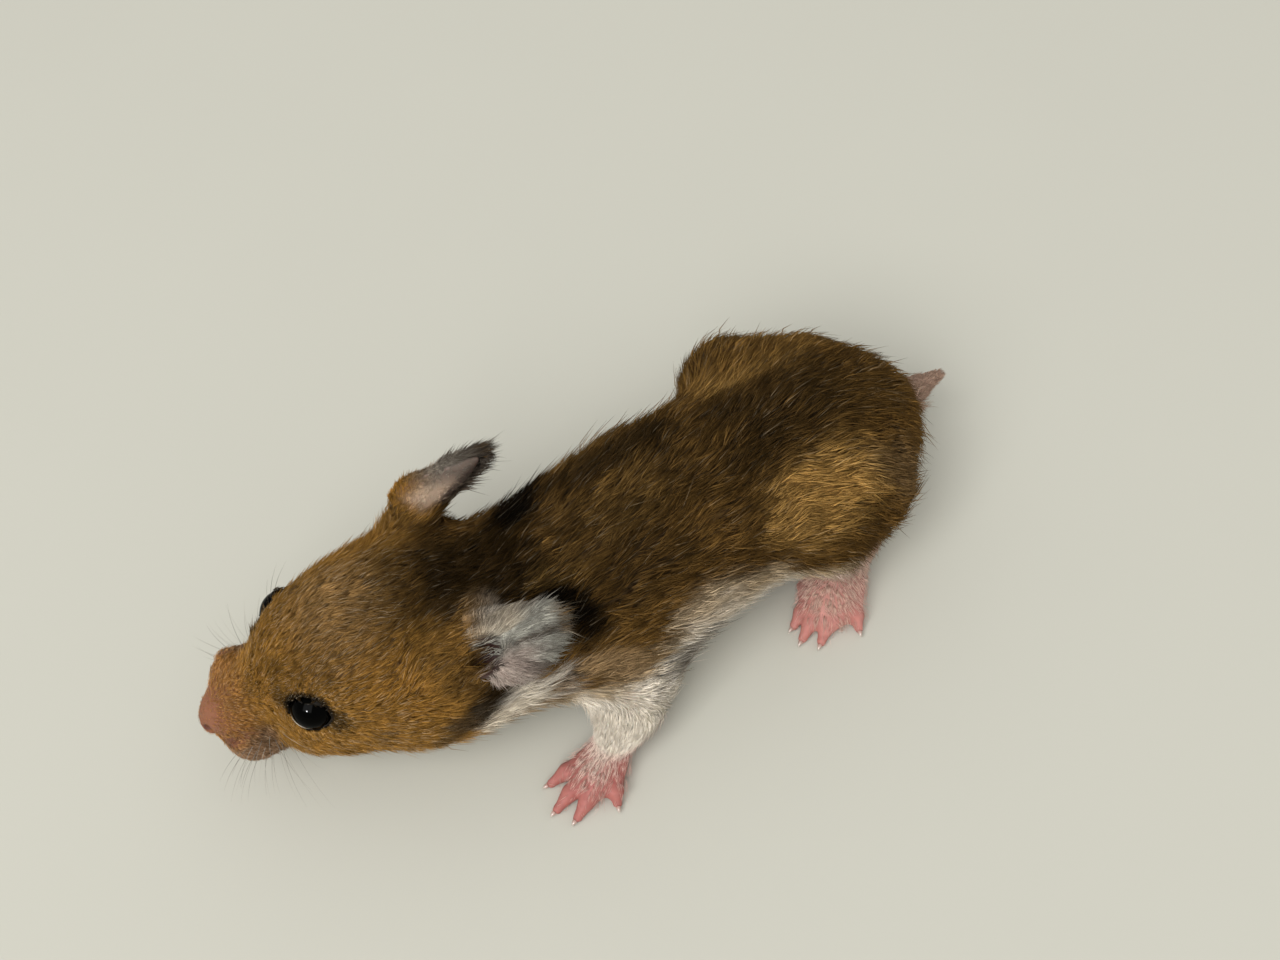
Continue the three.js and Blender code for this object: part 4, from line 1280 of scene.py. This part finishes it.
# ---------- Whiskers and claws ----------
def tubes(lines, radii, sides):
    """Tubes along many lines at once: lines holds tube by point by XYZ, radii tube by point."""
    number, steps, _ = lines.shape
    along = unit(np.gradient(lines, axis=1))
    aside = unit(np.cross(along, np.array([0.31, 0.22, 0.93])))
    over = np.cross(along, aside)
    turn = np.arange(sides) * 2 * math.pi / sides
    ring = aside[:, :, None] * np.cos(turn)[:, None] + over[:, :, None] * np.sin(turn)[:, None]
    points = (lines[:, :, None] + radii[:, :, None, None] * ring).reshape(-1, 3)
    n, i, j = np.meshgrid(np.arange(number), np.arange(steps - 1), np.arange(sides), indexing="ij")
    a, b = (n * steps + i) * sides + j, (n * steps + i) * sides + (j + 1) % sides
    return points, np.stack([a, b, b + sides, a + sides], -1).reshape(-1, 4)


def whiskers():
    """Whiskers of both muzzle pads and the few over each eye, bending down and back."""
    steps = 9
    lines, radii, shades = [], [], []

    def one(at, way, length, droop, radius, shade):
        start = settled(np.array([at]), np.array([-0.15]), np.ones(1))[0]
        t = np.linspace(0, 1, steps)[:, None]
        lines.append(start + unit(way) * length * t + np.array(droop) * length * t * t)
        radii.append(radius * (1.05 - t[:, 0]) ** 0.8)
        shades.append(np.tile(shade, (steps, 1)))

    for side in (-1, 1):
        for row in range(4):
            for column in range(6):
                at = from_head([4.2 + 0.8 * column + 0.3 * RANDOM.random(), side * 5.2, 0.7 - 0.75 * row])
                forward = 1.05 - 0.24 * column + 0.15 * RANDOM.normal()
                way = HEAD_TURN @ np.array([-forward, side * 0.9, 0.35 - 0.22 * row + 0.1 * RANDOM.normal()])
                length = (4.6 + 0.5 * column) * (0.75 + 0.5 * RANDOM.random())
                shade = mix(SILVER, ASH * 0.5, RANDOM.random())
                one(at, way, length, HEAD_TURN @ np.array([0.16, 0.0, -0.16]), 0.026, shade)
    for eye in EYES.values():
        for k in range(3):
            at = eye["at"] - 2.6 * eye["short"] + (0.9 * k - 1.2) * eye["long"] + 1.4 * eye["look"]
            way = HEAD_TURN @ np.array([0.15 + 0.25 * k, eye["side"] * 0.35, 1.0])
            one(at, way, 3.6 + RANDOM.random(), HEAD_TURN @ np.array([0.3, 0.0, 0.0]), 0.022, DARK)
    points, faces = tubes(np.array(lines), np.array(radii), 5)
    piece = mesh_object("whiskers", points, faces, np.repeat(np.concatenate(shades), 5, axis=0))
    looks = dict(roughness=(0.30, 0.45), grain=0.15, grain_mm=1.2, bump=(0.1, 0.01))
    piece.data.materials.append(new_material("whisker", **looks))


def claws():
    lines = []
    for paw in PAWS.values():
        for line, end in toe_lines(paw):
            pad = line[-1]
            forward = unit(end - pad)
            t = np.linspace(0, 1, 8)[:, None]
            start = pad + forward * (TOE_RADIUS - 0.35) + np.array([0, 0, 0.12])
            reach = np.linalg.norm(end - start)
            arch = np.array([0, 0, 1.0]) * (0.55 * t - 0.75 * t * t) * 0.5
            lines.append(start + forward * reach * t + arch)
    radii = np.tile(0.27 * (1.02 - np.linspace(0, 1, 8)) ** 0.75, (len(lines), 1))
    points, faces = tubes(np.array(lines), radii, 8)
    shade = mix(mix(PINK, ASH, 0.4), SILVER, np.linspace(0, 1, 8)[:, None])
    shade = np.tile(np.repeat(shade, 8, axis=0), (len(lines), 1))
    piece = mesh_object("claws", points, faces, shade)
    looks = dict(roughness=(0.25, 0.40), grain=0.10, grain_mm=0.4, bump=(0.2, 0.02))
    piece.data.materials.append(new_material("claw", **looks))


whiskers()
claws()


# ---------- Eyes ----------
def eye_ball(name, eye):
    bpy.ops.mesh.primitive_uv_sphere_add(segments=72, ring_count=44, radius=1)
    ball = bpy.context.object
    ball.name = ball.data.name = name + "_ball"
    turn = Vector(eye["look"]).to_track_quat("Z", "Y").to_matrix()
    centre = Vector((eye["at"] - MIDDLE) * 0.001)
    for vertex in ball.data.vertices:
        front = vertex.co.z
        bulge = 0.10 * float(ramp(0.1, 1.0, front))
        vertex.co = turn @ (vertex.co * (EYE_RADIUS - 0.01 + bulge) * 0.001) + centre
    ball.data.shade_smooth()
    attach(ball, "root")
    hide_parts(name)
    return ball


looks = dict(roughness=(0.02, 0.05), grain=0.5, grain_mm=0.9, bump=(0.02, 0.01), Specular_IOR_Level=0.03)
looks = new_material("eye", colour=(0.0006, 0.0005, 0.0004), **looks)
for name, eye in EYES.items():
    eye_ball(name, eye).data.materials.append(looks)


# ---------- Floor, lights and camera ----------
bpy.ops.mesh.primitive_plane_add(size=4.0)
floor = bpy.context.object
floor.name = "floor"
looks = dict(colour=(0.56, 0.55, 0.48), roughness=(0.6, 0.8), grain=0.012, grain_mm=30.0, bump=(0.05, 0.05))
floor.data.materials.append(new_material("floor", Specular_IOR_Level=0.02, **looks))


def area_lamp(name, watts, size, at):
    """A square lamp of that size, turned to the animal."""
    lamp = bpy.data.lights.new(name, "AREA")
    lamp.energy, lamp.size = watts, size
    piece = bpy.data.objects.new(name, lamp)
    bpy.context.scene.collection.objects.link(piece)
    piece.location = at
    piece.rotation_euler = (-Vector(at)).to_track_quat("-Z", "Y").to_euler()
    return piece


area_lamp("key", watts=12.6, size=0.92, at=(-0.54, -0.54, 0.94))
# This one is seen in gloss only. It is the point of light in the eyes.
area_lamp("spark", watts=5.5, size=0.05, at=(-0.355, -0.339, 0.330)).visible_diffuse = False
world = bpy.data.worlds.new("world")
bpy.context.scene.world = world
world.use_nodes = True
sky = world.node_tree.nodes["Background"]
sky.inputs["Color"].default_value = (1.0, 1.0, 0.98, 1)
sky.inputs["Strength"].default_value = 0.6

camera_data = bpy.data.cameras.new("camera")
camera_data.lens = 49.9
camera_data.sensor_width = 36
camera_data.clip_start = 0.01
camera = bpy.data.objects.new("camera", camera_data)
bpy.context.scene.collection.objects.link(camera)
# The photo's own view, as worked out from the soles on the floor and the outline.
CAMERA_AT = (-0.0192711, -0.096426, 0.16556)
CAMERA_FORWARD, CAMERA_UP = (0.1419, 0.5529, -0.8211), (0.3776, 0.7365, 0.5612)
forward = Vector(CAMERA_FORWARD).normalized()
right = forward.cross(Vector(CAMERA_UP)).normalized()
up = right.cross(forward)
camera.matrix_world = Matrix.Translation(CAMERA_AT) @ Matrix((right, up, -forward)).transposed().to_4x4()
bpy.context.scene.camera = camera

bpy.context.scene.view_settings.view_transform = "Standard"
